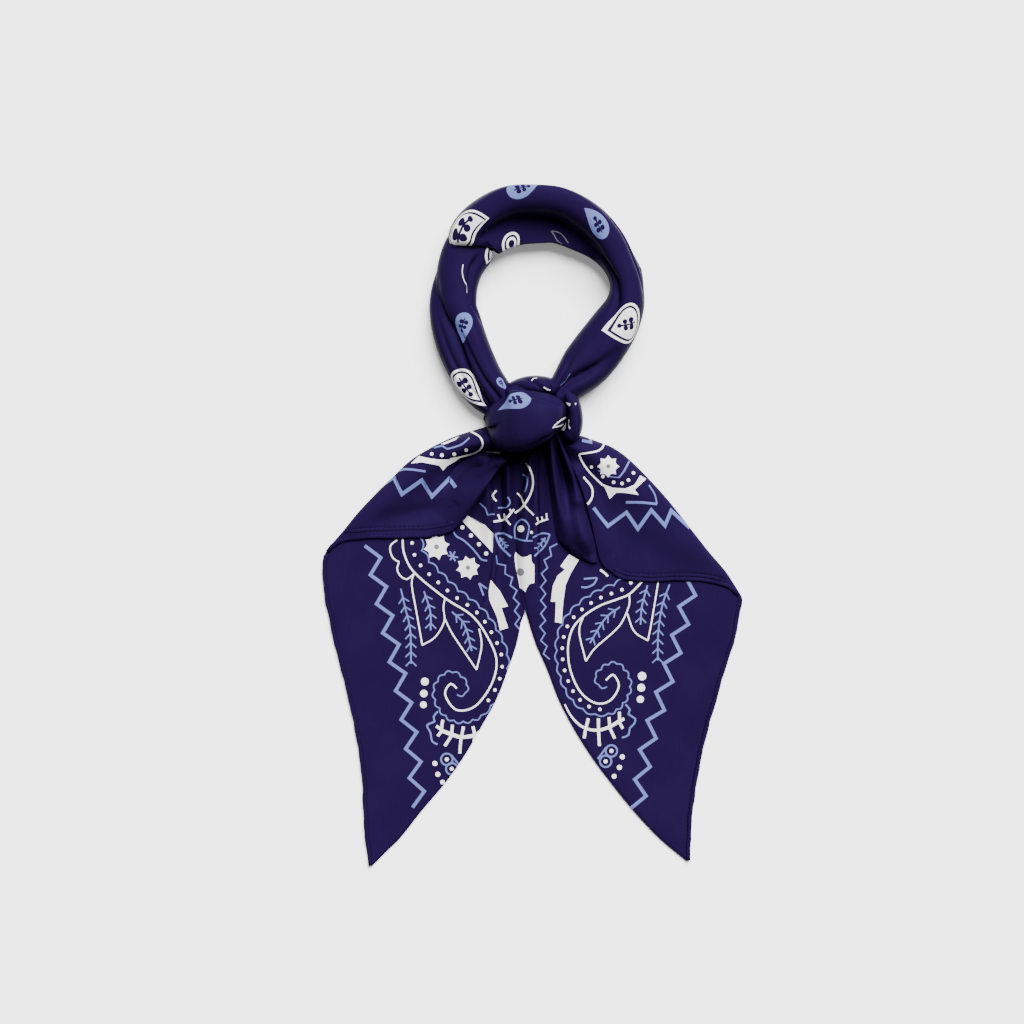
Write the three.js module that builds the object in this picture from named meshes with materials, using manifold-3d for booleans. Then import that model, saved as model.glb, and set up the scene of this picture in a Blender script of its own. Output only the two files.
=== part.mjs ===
// A square satin bandana, folded corner to corner, tied into a ring with an overhand knot, lying flat.
// The ring and the knot are rolled cloth. The two tails are doubled cloth whose upper edge is folded over
// into a flap, with a rolled hem along the cut edges and pleats where the cloth gathers at the knot.
// Millimetres. +X is the right of the bandana as it lies, +Y points from the tails to the ring, +Z is up,
// and the surface that it lies on is Z = 0.
import * as THREE from "three";
import Module from "manifold-3d";

const wasm = await Module();
wasm.setup();

// Driving dimensions
const WALL = 1.2; // the wall of a flap
const TWO_PLIES = 1.6; // the doubled cloth of a tail where it lies flat
const SEAM_GAP = 0.35; // between pieces that touch
const FLAP_CLEARANCE = 0.5; // from a tail to the flap that lies on it
const HEM_RADIUS = 1.25; // the rolled hem
const HEM_BAND = 2 * HEM_RADIUS + SEAM_GAP; // from the cloth's outline to the panel inside the hem
const FOLD_RADIUS = 5; // the rounding of a flap where it turns over
const TAIL_FOLD_RADIUS = 3; // the rounding of a tail along its diagonal fold
const KNOT = { x: -4, y: 62 }; // the middle of the knot
const BUNCHED = { near: 34, far: 58 }; // from the knot's middle: layers bunched solid, then a plain wall
const FINEST = 0.02; // the finest detail that a cut piece keeps
const WAIST = 0.42; // height of a roll's widest line, as a share of its top
const UNDER_FOLD = 4.5; // how far a tail stops inside the fold that turns over it

// Rolled stretches: the line of each one, half its width, its top, and how far its crown leans to the
// left of its run, as a share of half its width.
const RING_ROLL = [
  { x: -37, y: 159, half: 15.5, top: 25, lean: 0.3 },
  { x: -32, y: 168, half: 15.9, top: 28, lean: 0.35 },
  { x: -24, y: 176, half: 16.9, top: 30, lean: 0.4 },
  { x: -12, y: 181, half: 17.5, top: 31, lean: 0.5 },
  { x: 2, y: 182, half: 16.9, top: 32, lean: 0.5 },
  { x: 16, y: 181, half: 16.2, top: 32, lean: 0.5 },
  { x: 31, y: 174, half: 14.8, top: 31, lean: 0.4 },
  { x: 43, y: 164.5, half: 12.0, top: 29, lean: 0.2 },
  { x: 51, y: 153, half: 9.6, top: 27, lean: 0 },
  { x: 55, y: 141, half: 9.6, top: 26, lean: 0 },
  { x: 54, y: 129, half: 11.6, top: 26, lean: 0.1 },
  { x: 48, y: 117, half: 13.9, top: 26, lean: 0.1 },
  { x: 39, y: 104, half: 14.9, top: 25, lean: 0 },
  { x: 30, y: 93, half: 14.2, top: 25, lean: 0 },
  { x: 21, y: 83, half: 10.8, top: 25, lean: 0 },
  { x: 14, y: 76, half: 8, top: 24, lean: 0 },
];
const INNER_ROLL = [
  { x: -38, y: 160, half: 14.5, top: 21, lean: 0 },
  { x: -42, y: 151, half: 13.3, top: 22, lean: 0 },
  { x: -44, y: 140, half: 12.3, top: 23, lean: 0.1 },
  { x: -43, y: 128, half: 11.0, top: 24, lean: 0.1 },
  { x: -39, y: 119, half: 9.7, top: 24, lean: 0.1 },
  { x: -35, y: 109, half: 8.9, top: 24, lean: 0.1 },
  { x: -31, y: 99, half: 8.7, top: 24, lean: 0 },
  { x: -26, y: 88, half: 8.7, top: 24, lean: 0 },
  { x: -19, y: 77, half: 8.4, top: 23, lean: 0 },
];
const OUTER_ROLL = [
  { x: -55, y: 141, half: 3.5, top: 9, lean: 0 },
  { x: -53, y: 130, half: 7.2, top: 15, lean: 0 },
  { x: -51, y: 119, half: 8.3, top: 18, lean: 0 },
  { x: -48, y: 108, half: 8.6, top: 19, lean: 0 },
  { x: -44, y: 97, half: 8.2, top: 19, lean: 0 },
  { x: -38, y: 85, half: 7.6, top: 19, lean: 0 },
  { x: -31, y: 75, half: 6.2, top: 18, lean: 0 },
  { x: -24, y: 68, half: 4.2, top: 15, lean: 0 },
];
const KNOT_BAND = [
  { x: -28.5, y: 65.2, half: 3, top: 17, lean: 0 },
  { x: -26, y: 64.9, half: 8.5, top: 27, lean: 0 },
  { x: -22, y: 64.3, half: 14, top: 33, lean: 0.1 },
  { x: -16, y: 63.5, half: 18.6, top: 38, lean: 0.15 },
  { x: -8.5, y: 63.2, half: 20.8, top: 41, lean: 0.2 },
  { x: 0, y: 63.6, half: 20, top: 42, lean: 0.2 },
  { x: 9, y: 64.2, half: 16.6, top: 40, lean: 0.15 },
  { x: 15, y: 64.3, half: 12.6, top: 35, lean: 0 },
  { x: 19.5, y: 64, half: 8.4, top: 27, lean: 0 },
];
const KNOT_BACK = [
  { x: -17, y: 75, half: 4, top: 22, lean: 0 },
  { x: -10, y: 79, half: 6, top: 27, lean: 0 },
  { x: -1, y: 81.5, half: 6.4, top: 29, lean: 0 },
  { x: 9, y: 81, half: 6, top: 28, lean: 0 },
  { x: 16, y: 77, half: 5, top: 24, lean: 0 },
];
const KNOT_SIDE = [
  { x: 17, y: 81, half: 4, top: 22, lean: 0 },
  { x: 22, y: 74, half: 4.8, top: 26, lean: 0 },
  { x: 24.5, y: 65, half: 5, top: 27, lean: 0 },
  { x: 24, y: 56, half: 4.8, top: 25, lean: 0 },
  { x: 19, y: 49, half: 4, top: 20, lean: 0 },
];

// The tails, from the knot to the tip: the outline at each height of Y.
const LEFT_TAIL = [
  { y: 50, left: -44, right: -4.1 },
  { y: 33, left: -76, right: -4.1 },
  { y: 21, left: -90, right: -6.5 },
  { y: 10, left: -100.6, right: -8.8 },
  { y: -2, left: -110.6, right: -10.6 },
  { y: -10, left: -117.2, right: -11 },
  { y: -16.5, left: -121.6, right: -11 },
  { y: -21, left: -122.9, right: -10.6 },
  { y: -31, left: -122.9, right: -9.6 },
  { y: -43, left: -121.5, right: -7.6 },
  { y: -53, left: -119.4, right: -6.4 },
  { y: -68, left: -116.3, right: -8.8 },
  { y: -84, left: -112.1, right: -14.1 },
  { y: -101, left: -108, right: -20.6 },
  { y: -117, left: -104.5, right: -29.4 },
  { y: -134, left: -101.6, right: -39.3 },
  { y: -150, left: -99.8, right: -50.5 },
  { y: -166, left: -99.2, right: -64 },
  { y: -183, left: -98.1, right: -77.5 },
  { y: -192, left: -96.9, right: -86.7 },
  { y: -200, left: -95.7, right: -94.5 },
];
const RIGHT_TAIL = [
  { y: 50, left: -3.4, right: 30 },
  { y: 33, left: -3.7, right: 63 },
  { y: 21, left: -6.1, right: 75 },
  { y: 10, left: -8.4, right: 84.6 },
  { y: -2, left: -10.2, right: 94 },
  { y: -10, left: -10.8, right: 100.4 },
  { y: -18, left: -10.2, right: 106.8 },
  { y: -27, left: -9.2, right: 114.3 },
  { y: -35, left: -7.6, right: 119.6 },
  { y: -39.5, left: -6.7, right: 122.4 },
  { y: -43, left: -5.8, right: 123.3 },
  { y: -51, left: -3.5, right: 122.1 },
  { y: -68, left: 1.8, right: 118.6 },
  { y: -84, left: 8.8, right: 113.3 },
  { y: -101, left: 15.3, right: 108.6 },
  { y: -117, left: 23.5, right: 103.9 },
  { y: -134, left: 34, right: 99.8 },
  { y: -150, left: 45.8, right: 96.9 },
  { y: -166, left: 58.7, right: 94.5 },
  { y: -183, left: 74.6, right: 93.3 },
  { y: -197, left: 91.3, right: 93 },
];

// The flaps, across the bandana: the fold that each one turns over at, and its lower edge.
const LEFT_FLAP = [
  { x: -122.5, low: -20.8, high: -17.3 },
  { x: -118, low: -13.2, high: -10.8 },
  { x: -111, low: -7.9, high: -2.6 },
  { x: -102, low: -6.1, high: 8.5 },
  { x: -92, low: -5.8, high: 19.1 },
  { x: -82, low: -5.6, high: 29 },
  { x: -72, low: -5.6, high: 38.4 },
  { x: -60, low: -5, high: 46 },
  { x: -48, low: -3.2, high: 51.9 },
  { x: -40, low: 2.7, high: 54.8 },
  { x: -34, low: 10.9, high: 56.6 },
  { x: -28, low: 20.2, high: 58.3 },
  { x: -21, low: 30.8, high: 59.5 },
  { x: -12, low: 40, high: 60.1 },
];
const RIGHT_FLAP = [
  { x: 12, low: 52, high: 58.4 },
  { x: 20, low: 44, high: 55.8 },
  { x: 25, low: 31, high: 54.2 },
  { x: 30, low: 18, high: 53 },
  { x: 35, low: 0, high: 51.2 },
  { x: 40, low: -20.5, high: 49.4 },
  { x: 47, low: -27.6, high: 46.6 },
  { x: 55, low: -31.2, high: 41.2 },
  { x: 66, low: -32.5, high: 30.8 },
  { x: 80, low: -32.2, high: 15.5 },
  { x: 93, low: -31.9, high: -0.9 },
  { x: 104, low: -33.1, high: -14.9 },
  { x: 114, low: -35.5, high: -26.6 },
  { x: 119, low: -39, high: -34.3 },
  { x: 123, low: -44.3, high: -40.7 },
];
// The tongue: the part of the right flap that rolls under beside the knot.
const TONGUE = [
  { y: 56, left: 7, right: 15 },
  { y: 39, left: 8.1, right: 22.7 },
  { y: 27, left: 9.3, right: 27.4 },
  { y: 16, left: 9.9, right: 31.5 },
  { y: 4, left: 11.6, right: 34.4 },
  { y: -8, left: 15.1, right: 37 },
  { y: -15, left: 22.7, right: 37.9 },
  { y: -21, left: 33, right: 38.5 },
];

// The largest folds: points along each crest, with its reach to each side and its rise there.
const LEFT_TAIL_FOLDS = [
  {
    crest: [
      { x: -24, y: 38, wide: 6, rise: 11 },
      { x: -19.5, y: 2.6, wide: 5, rise: 6 },
      { x: -20.5, y: -31, wide: 5, rise: 3 },
      { x: -20, y: -58, wide: 6, rise: 0.8 },
    ],
  },
];
const RIGHT_TAIL_FOLDS = [
  {
    crest: [
      { x: -0.5, y: 38.9, wide: 4.6, rise: 13 },
      { x: -4.6, y: 2.6, wide: 4.8, rise: 8 },
      { x: -4.6, y: -19.7, wide: 5, rise: 4.5 },
      { x: -0.5, y: -49, wide: 6, rise: 1.2 },
    ],
  },
  {
    crest: [
      { x: 11, y: 33, wide: 5, rise: 8 },
      { x: 9.6, y: 2.6, wide: 5, rise: 5 },
      { x: 11, y: -31, wide: 6, rise: 2.6 },
      { x: 16, y: -67, wide: 7, rise: 0.8 },
    ],
  },
];
const LEFT_FLAP_FOLDS = [
  {
    crest: [
      { x: -20, y: 51, wide: 8, rise: 15 },
      { x: -44, y: 44, wide: 9, rise: 9 },
      { x: -66, y: 32, wide: 10, rise: 5.5 },
      { x: -104, y: 0, wide: 7, rise: 1.5 },
    ],
  },
  {
    crest: [
      { x: -18, y: 40, wide: 8, rise: 17 },
      { x: -30, y: 23, wide: 9, rise: 13 },
      { x: -41, y: 10, wide: 10, rise: 7 },
      { x: -50, y: 2, wide: 10, rise: 2 },
    ],
  },
];
const RIGHT_FLAP_FOLDS = [
  {
    crest: [
      { x: 24, y: 48, wide: 8, rise: 12 },
      { x: 40, y: 38, wide: 10, rise: 7 },
      { x: 60, y: 22, wide: 12, rise: 4 },
      { x: 108, y: -26, wide: 8, rise: 1 },
    ],
  },
];
const TONGUE_FOLDS = [
  {
    crest: [
      { x: 12, y: 50, wide: 4, rise: 12 },
      { x: 13.5, y: 22, wide: 4.5, rise: 9 },
      { x: 17, y: 4, wide: 5, rise: 5 },
    ],
  },
  {
    crest: [
      { x: 15, y: 52, wide: 5, rise: 12 },
      { x: 24, y: 27, wide: 6, rise: 11 },
      { x: 29, y: 4, wide: 7, rise: 8 },
      { x: 33, y: -10, wide: 7, rise: 4 },
    ],
  },
];

// Grooves along a roll, where one turn of the cloth ends on the next: how far along the table it runs,
// its angle round the section from the left of the run, its width as an angle, and its depth.
const RING_CREASES = [
  { start: 0.5, end: 14.5, angle: 18, wide: 11, depth: 2.4 },
  { start: 7, end: 14.5, angle: 126, wide: 12, depth: 3 },
  { start: 0.5, end: 5, angle: 126, wide: 12, depth: 2.6 },
  { start: 0.5, end: 5, angle: 162, wide: 12, depth: -1.5 },
];
const INNER_CREASES = [{ start: 1, end: 7.5, angle: 154, wide: 14, depth: 1.6 }];
const KNOT_CREASES = [
  { start: 1.5, end: 7.5, angle: 337.5, wide: 14, depth: 2.5 },
  { start: 1.5, end: 7.5, angle: 180, wide: 14, depth: 2 },
];

const clamp = (value, low, high) => Math.min(high, Math.max(low, value));
const mix = (a, b, share) => a + (b - a) * share;
const smooth = (low, high, value) => {
  const share = clamp((value - low) / (high - low), 0, 1);
  return share * share * (3 - 2 * share);
};

// A table's column, read at a value of its key column through a smooth curve.
function read(rows, key, column, value) {
  const rising = rows[rows.length - 1][key] > rows[0][key] ? 1 : -1;
  let i = 0;
  while (i < rows.length - 2 && rising * (value - rows[i + 1][key]) > 0) i++;
  const slope = (k) => {
    const before = rows[Math.max(0, k - 1)];
    const after = rows[Math.min(rows.length - 1, k + 1)];
    return (after[column] - before[column]) / (after[key] - before[key]);
  };
  const span = rows[i + 1][key] - rows[i][key];
  const t = clamp((value - rows[i][key]) / span, 0, 1);
  return (
    rows[i][column] * (2 * t ** 3 - 3 * t ** 2 + 1) +
    rows[i + 1][column] * (3 * t ** 2 - 2 * t ** 3) +
    slope(i) * span * (t ** 3 - 2 * t ** 2 + t) +
    slope(i + 1) * span * (t ** 3 - t ** 2)
  );
}

// The height that a set of folds adds at a point.
function raised(folds, x, y) {
  let height = 0;
  for (const { crest } of folds) {
    let nearest = Infinity;
    let rise = 0;
    for (let i = 0; i + 1 < crest.length; i++) {
      const [a, b] = [crest[i], crest[i + 1]];
      const [runX, runY] = [b.x - a.x, b.y - a.y];
      const t = clamp(((x - a.x) * runX + (y - a.y) * runY) / (runX ** 2 + runY ** 2), 0, 1);
      const [offX, offY] = [x - mix(a.x, b.x, t), y - mix(a.y, b.y, t)];
      const away = Math.hypot(offX, offY) / mix(a.wide, b.wide, t);
      if (away < nearest) {
        nearest = away;
        rise = mix(a.rise, b.rise, t);
      }
    }
    height += rise * Math.exp(-(nearest ** 2));
  }
  return height;
}

// How much of its height a sheet keeps at a distance from an edge that turns over.
const rounded = (distance, radius) =>
  distance >= radius ? 1 : Math.sqrt(Math.max(0, 1 - (1 - distance / radius) ** 2));

// A closed solid from points and triangles, turned so that its faces point out.
function closed(points, triangles) {
  let volume = 0;
  for (const [a, b, c] of triangles) {
    volume += new THREE.Vector3().crossVectors(points[a], points[b]).dot(points[c]);
  }
  const outward = volume > 0 ? triangles : triangles.map(([a, b, c]) => [a, c, b]);
  return new wasm.Manifold(
    new wasm.Mesh({
      numProp: 3,
      vertProperties: new Float32Array(points.flatMap((p) => p.toArray())),
      triVerts: new Uint32Array(outward.flat()),
    }),
  );
}

// How deep the grooves are at a place along a roll and an angle round it.
function grooved(creases, at, angle) {
  let depth = 0;
  for (const crease of creases) {
    const ends = smooth(crease.start, crease.start + 1, at) * (1 - smooth(crease.end - 1, crease.end, at));
    depth += crease.depth * ends * Math.exp(-(((angle - crease.angle) / crease.wide) ** 2));
  }
  return depth;
}

// A roll of cloth along a table of sections, flat where it rests.
function roll(rows, { steps, sides, creases = [] }, grow = 0) {
  const numbered = rows.map((row, index) => ({ ...row, index }));
  const last = rows.length - 1;
  const points = [];
  for (let i = 0; i <= steps; i++) {
    const at = (last * i) / steps;
    const value = (column, where = at) => read(numbered, "index", column, where);
    const [before, after] = [Math.max(0, at - 0.2), Math.min(last, at + 0.2)];
    const run = new THREE.Vector2(
      value("x", after) - value("x", before),
      value("y", after) - value("y", before),
    ).normalize();
    const half = value("half") + grow;
    const top = value("top") + grow;
    const past = 2 * grow * (i === steps ? 1 : i === 0 ? -1 : 0);
    for (let k = 0; k < sides; k++) {
      const angle = (2 * Math.PI * k) / sides;
      const [cos, sin] = [Math.cos(angle), Math.sin(angle)];
      const groove = grooved(creases, at, (angle * 180) / Math.PI);
      const wide = Math.sign(cos) * Math.abs(cos) ** 0.8;
      const side = (half - groove) * wide + half * value("lean") * 0.5 * Math.max(0, sin);
      const up =
        sin >= 0
          ? top * mix(WAIST, 1, sin ** 0.85) - groove * sin
          : Math.max(0, top * WAIST * (1 - 1.15 * Math.abs(sin) ** 0.45));
      points.push(
        new THREE.Vector3(
          value("x") - run.y * side + run.x * past,
          value("y") + run.x * side + run.y * past,
          grow > 0 && sin < -0.5 ? -grow : up,
        ),
      );
    }
  }
  const triangles = [];
  for (let i = 0; i < steps; i++) {
    for (let k = 0; k < sides; k++) {
      const [a, b] = [i * sides + k, i * sides + ((k + 1) % sides)];
      triangles.push([a, b, b + sides], [a, b + sides, a + sides]);
    }
  }
  for (let k = 1; k + 1 < sides; k++) {
    const end = steps * sides;
    triangles.push([0, k + 1, k], [end, end + k, end + k + 1]);
  }
  return closed(points, triangles);
}

// A sheet between two edges: key runs along the table, from and to are its edges' columns, closer is
// over 1 where the stations are closer together at the table's start, and last is where it stops.
function sheet(rows, { key, from, to, steps, spread, closer = 1, last = rows.at(-1)[key] }, heights, grow) {
  const first = rows[0][key];
  const points = [];
  const columns = spread.length;
  for (const layer of ["top", "bottom"]) {
    for (let i = 0; i <= steps; i++) {
      const value = mix(first, last, (i / steps) ** closer);
      const low = read(rows, key, from, value);
      const high = read(rows, key, to, value);
      for (const share of spread) {
        const across = mix(low - grow, high + grow, share);
        const along = value + grow * Math.sign(last - first) * (i === steps ? 1 : i === 0 ? -1 : 0);
        const [x, y] = key === "y" ? [across, along] : [along, across];
        const edges = [Math.max(0, across - low), Math.max(0, high - across)];
        const z = heights(x, y, ...edges)[layer] + (layer === "top" ? grow : -grow);
        points.push(new THREE.Vector3(x, y, z));
      }
    }
  }
  const triangles = [];
  const under = (steps + 1) * columns;
  for (let i = 0; i < steps; i++) {
    for (let k = 0; k + 1 < columns; k++) {
      const a = i * columns + k;
      const [b, c, d] = [a + 1, a + columns + 1, a + columns];
      triangles.push([a, b, c], [a, c, d]);
      triangles.push([under + a, under + c, under + b], [under + a, under + d, under + c]);
    }
  }
  const rim = [];
  for (let k = 0; k < columns; k++) rim.push(k);
  for (let i = 1; i <= steps; i++) rim.push(i * columns + columns - 1);
  for (let k = columns - 2; k >= 0; k--) rim.push(steps * columns + k);
  for (let i = steps - 1; i > 0; i--) rim.push(i * columns);
  rim.forEach((a, i) => {
    const b = rim[(i + 1) % rim.length];
    triangles.push([a, under + a, under + b], [a, under + b, b]);
  });
  return closed(points, triangles);
}

// Shares across a sheet: closer together at the edges that turn over, where it rounds.
function shares(columns, closeLow, closeHigh) {
  return Array.from({ length: columns + 1 }, (_, k) => {
    const t = k / columns;
    const low = closeLow ? t ** 1.6 : t;
    const high = closeHigh ? 1 - (1 - t) ** 1.6 : t;
    return mix(low, high, t);
  });
}

// Heights of the doubled cloth of a tail. Its diagonal fold is rounded, and its underside rests flat.
function tailHeights(folds, diagonal) {
  return (x, y, fromLow, fromHigh) => {
    const inward = diagonal === "high" ? fromHigh : fromLow;
    const height = TWO_PLIES + raised(folds, x, y);
    return { top: Math.max(0.8, height * rounded(inward + 0.4, TAIL_FOLD_RADIUS)), bottom: 0 };
  };
}

// Heights of a flap: a wall that turns over at its high edge, and is bunched solid near the knot.
function flapHeights(folds) {
  return (x, y, fromLow, fromHigh) => {
    const resting = TWO_PLIES + FLAP_CLEARANCE;
    const height = resting + WALL + raised(folds, x, y);
    const turned = rounded(fromHigh + 0.5, FOLD_RADIUS);
    const top = Math.max(1, height * turned);
    const bunched = 1 - smooth(BUNCHED.near, BUNCHED.far, Math.hypot(x - KNOT.x, y - KNOT.y));
    const under = Math.max(resting, mix(top - WALL, resting, bunched));
    const down = smooth(0, FOLD_RADIUS * 0.7, fromHigh);
    return { top, bottom: Math.min(under * down, top - 0.9) };
  };
}

// Heights of the tongue, which is rolled cloth that lies on the right tail.
function tongueHeights(x, y, fromLow, fromHigh) {
  const resting = TWO_PLIES + FLAP_CLEARANCE;
  const edge = rounded(Math.min(fromLow, fromHigh) + 0.4, FOLD_RADIUS);
  return { top: resting + 0.8 + (2.5 + raised(TONGUE_FOLDS, x, y)) * edge, bottom: resting };
}

// A rolled hem along points that lie one hem radius inside the cloth's outline.
function hem(path, grow = 0) {
  const circle = new THREE.Shape().absarc(0, 0, HEM_RADIUS + grow, 0, 2 * Math.PI);
  const curve = new THREE.CatmullRomCurve3(path);
  const geometry = new THREE.ExtrudeGeometry(circle, {
    extrudePath: curve,
    steps: path.length + 4,
    curveSegments: 3,
  });
  const position = geometry.getAttribute("position");
  const points = [];
  const numbers = new Map();
  const corners = [];
  for (let i = 0; i < position.count; i++) {
    const point = new THREE.Vector3().fromBufferAttribute(position, i);
    const name = point.toArray().map((c) => c.toFixed(3)).join();
    if (!numbers.has(name)) numbers.set(name, points.push(point) - 1);
    corners.push(numbers.get(name));
  }
  const triangles = [];
  for (let i = 0; i < corners.length; i += 3) triangles.push(corners.slice(i, i + 3));
  return closed(points, triangles.filter(([a, b, c]) => a !== b && b !== c && c !== a));
}

// Points of a hem along one edge column of a table, from one key value to another.
function hemPath(rows, key, edge, inward, start, end, steps, z) {
  return Array.from({ length: steps + 1 }, (_, i) => {
    const value = mix(start, end, i / steps);
    const across = read(rows, key, edge, value) + inward * HEM_RADIUS;
    return key === "y" ? new THREE.Vector3(across, value, z) : new THREE.Vector3(value, across, z);
  });
}

// A tail's table with its outer edge moved in: inside the hem, or inside the flap's fold above a corner.
const insideHem = (rows, edge, inward, cornerY) =>
  rows.map((row) => {
    const inset = row.y < cornerY ? HEM_BAND : UNDER_FOLD;
    return { ...row, [edge]: row[edge] + inward * inset };
  });
// A flap's table with its lower edge moved in to make room for the hem.
const aboveHem = (rows) =>
  rows.map((row) => {
    const inset = Math.min(HEM_BAND, (row.high - row.low) / 3);
    return { ...row, low: row.low + inset };
  });

const tailHemZ = HEM_RADIUS;
const flapHemZ = TWO_PLIES + SEAM_GAP + HEM_RADIUS;
const leftTail = insideHem(LEFT_TAIL, "left", 1, -15);
const rightTail = insideHem(RIGHT_TAIL, "right", -1, -37);
const FOLDED_HIGH = { key: "x", from: "low", to: "high" };
const DOWN_THE_TAIL = { key: "y", from: "left", to: "right", closer: 1.4 };

// Every piece, the ones that lie on top or hold the others first: each later one is cut clear of them.
const PIECES = [
  {
    name: "knot_band",
    make: (grow) => roll(KNOT_BAND, { steps: 18, sides: 16, creases: KNOT_CREASES }, grow),
  },
  { name: "knot_side", make: (grow) => roll(KNOT_SIDE, { steps: 8, sides: 10 }, grow) },
  { name: "knot_back", make: (grow) => roll(KNOT_BACK, { steps: 8, sides: 10 }, grow) },
  {
    name: "ring_band",
    make: (grow) => roll(RING_ROLL, { steps: 40, sides: 20, creases: RING_CREASES }, grow),
  },
  {
    name: "ring_inner_roll",
    make: (grow) => roll(INNER_ROLL, { steps: 14, sides: 14, creases: INNER_CREASES }, grow),
  },
  { name: "ring_outer_roll", make: (grow) => roll(OUTER_ROLL, { steps: 12, sides: 12 }, grow) },
  {
    name: "right_tongue",
    make: (grow) => {
      const layout = { key: "y", from: "left", to: "right", steps: 14, spread: shares(9, true, true) };
      return sheet(TONGUE, layout, tongueHeights, grow);
    },
  },
  {
    name: "right_flap",
    make: (grow) => {
      const layout = { ...FOLDED_HIGH, steps: 22, spread: shares(11, false, true) };
      return sheet(aboveHem(RIGHT_FLAP), layout, flapHeights(RIGHT_FLAP_FOLDS), grow);
    },
  },
  {
    name: "left_flap",
    make: (grow) => {
      const layout = { ...FOLDED_HIGH, steps: 24, spread: shares(13, false, true) };
      return sheet(aboveHem(LEFT_FLAP), layout, flapHeights(LEFT_FLAP_FOLDS), grow);
    },
  },
  {
    name: "right_flap_hem",
    make: (grow) => hem(hemPath(RIGHT_FLAP, "x", "low", 1, 48, 116, 8, flapHemZ), grow),
  },
  {
    name: "left_flap_hem",
    make: (grow) => hem(hemPath(LEFT_FLAP, "x", "low", 1, -50, -112, 8, flapHemZ), grow),
  },
  {
    name: "right_hem",
    make: (grow) => hem(hemPath(RIGHT_TAIL, "y", "right", -1, -43.8, -195.5, 14, tailHemZ), grow),
  },
  {
    name: "left_hem",
    make: (grow) => hem(hemPath(LEFT_TAIL, "y", "left", 1, -20.8, -199, 16, tailHemZ), grow),
  },
  {
    name: "right_tail",
    make: (grow) => {
      const layout = { ...DOWN_THE_TAIL, steps: 26, spread: shares(12, true, false), last: -194 };
      return sheet(rightTail, layout, tailHeights(RIGHT_TAIL_FOLDS, "low"), grow);
    },
  },
  {
    name: "left_tail",
    make: (grow) => {
      const layout = { ...DOWN_THE_TAIL, steps: 26, spread: shares(12, false, true), last: -194.5 };
      return sheet(leftTail, layout, tailHeights(LEFT_TAIL_FOLDS, "high"), grow);
    },
  },
];

const satin = { color: 0x281f55, roughness: 0.45, metalness: 0 };
const hemFinish = { color: 0x231a4c, roughness: 0.5, metalness: 0 };

// The main body of what a cut leaves, without the splinters that are finer than the cloth's own detail.
const largest = (solid) => solid.decompose().sort((a, b) => b.volume() - a.volume())[0].simplify(FINEST);

function mesh(name, solid, material) {
  const { vertProperties, triVerts } = solid.getMesh();
  const geometry = new THREE.BufferGeometry();
  geometry.setAttribute("position", new THREE.BufferAttribute(vertProperties, 3));
  geometry.setIndex(new THREE.BufferAttribute(triVerts, 1));
  geometry.computeVertexNormals();
  const made = new THREE.Mesh(geometry, material);
  made.name = name;
  return made;
}

const bandana = new THREE.Group();
bandana.name = "bandana";
const around = [];
for (const { name, make } of PIECES) {
  const solid = around.reduce((left, other) => left.subtract(other), make(0));
  const finish = new THREE.MeshStandardMaterial(name.endsWith("hem") ? hemFinish : satin);
  bandana.add(mesh(name, largest(solid), finish));
  around.push(make(SEAM_GAP));
}

// The origin is the middle of the bandana's own box, on the surface that it lies on.
const extent = new THREE.Box3().setFromObject(bandana);
const middle = extent.getCenter(new THREE.Vector3());
bandana.position.set(-middle.x, -middle.y, -extent.min.z);

export default bandana;
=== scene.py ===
"""A printed satin bandana, tied in a ring with an overhand knot and lying flat, as a Blender add-on.

Tables are in millimetres, as the cloth lies: +X to the right, +Y from the tails to the ring, +Z up. Each
stretch of cloth is a thin shell, and each hem a stitched roll. The print is drawn on the flat cloth as plain
outlines, and the cloth is meshed around them, so that each face is wholly cloth or wholly ink.
"""
import math

import bpy
import numpy as np
from mathutils.geometry import delaunay_2d_cdt
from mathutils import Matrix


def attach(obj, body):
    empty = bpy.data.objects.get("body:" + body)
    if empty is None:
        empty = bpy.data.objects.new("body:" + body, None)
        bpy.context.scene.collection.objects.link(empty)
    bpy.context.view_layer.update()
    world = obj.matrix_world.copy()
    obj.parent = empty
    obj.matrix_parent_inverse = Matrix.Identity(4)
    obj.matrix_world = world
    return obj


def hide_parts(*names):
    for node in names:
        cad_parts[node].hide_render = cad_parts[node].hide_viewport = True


bl_info = {
    "name": "Tied bandana",
    "version": (1, 0, 0),
    "blender": (4, 5, 0),
    "location": "View3D > Sidebar > Bandana",
    "description": "A square printed bandana, folded corner to corner and tied in a ring",
    "category": "Add Mesh",
}

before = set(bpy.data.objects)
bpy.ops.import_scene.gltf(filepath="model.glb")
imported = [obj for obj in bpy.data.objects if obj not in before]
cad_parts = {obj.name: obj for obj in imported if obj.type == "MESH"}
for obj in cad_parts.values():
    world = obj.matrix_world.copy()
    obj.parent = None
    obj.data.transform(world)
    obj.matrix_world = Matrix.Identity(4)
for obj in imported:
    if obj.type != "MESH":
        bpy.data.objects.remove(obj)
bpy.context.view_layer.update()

MM = 0.001
ROOT = "root"

# The doubled cloth: its thickness, where a flap rests on it and the flap's own thickness, and how softly the
# flaps and the tails turn over at their folds.
TWO_PLIES = 1.6
FLAP_REST = 2.1
FLAP_WALL = 1.1
FOLD_RADIUS = 5.0
TAIL_FOLD_RADIUS = 3.0

# The depth of the cloth's slight unevenness, its least height and its least thickness
WAVER = {"tail": 0.22, "flap": 0.2}
LEAST_HEIGHT = {"tail": 0.6, "flap": 0.8}
THINNEST = {"tail": 0.4, "flap": 0.5}

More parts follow.
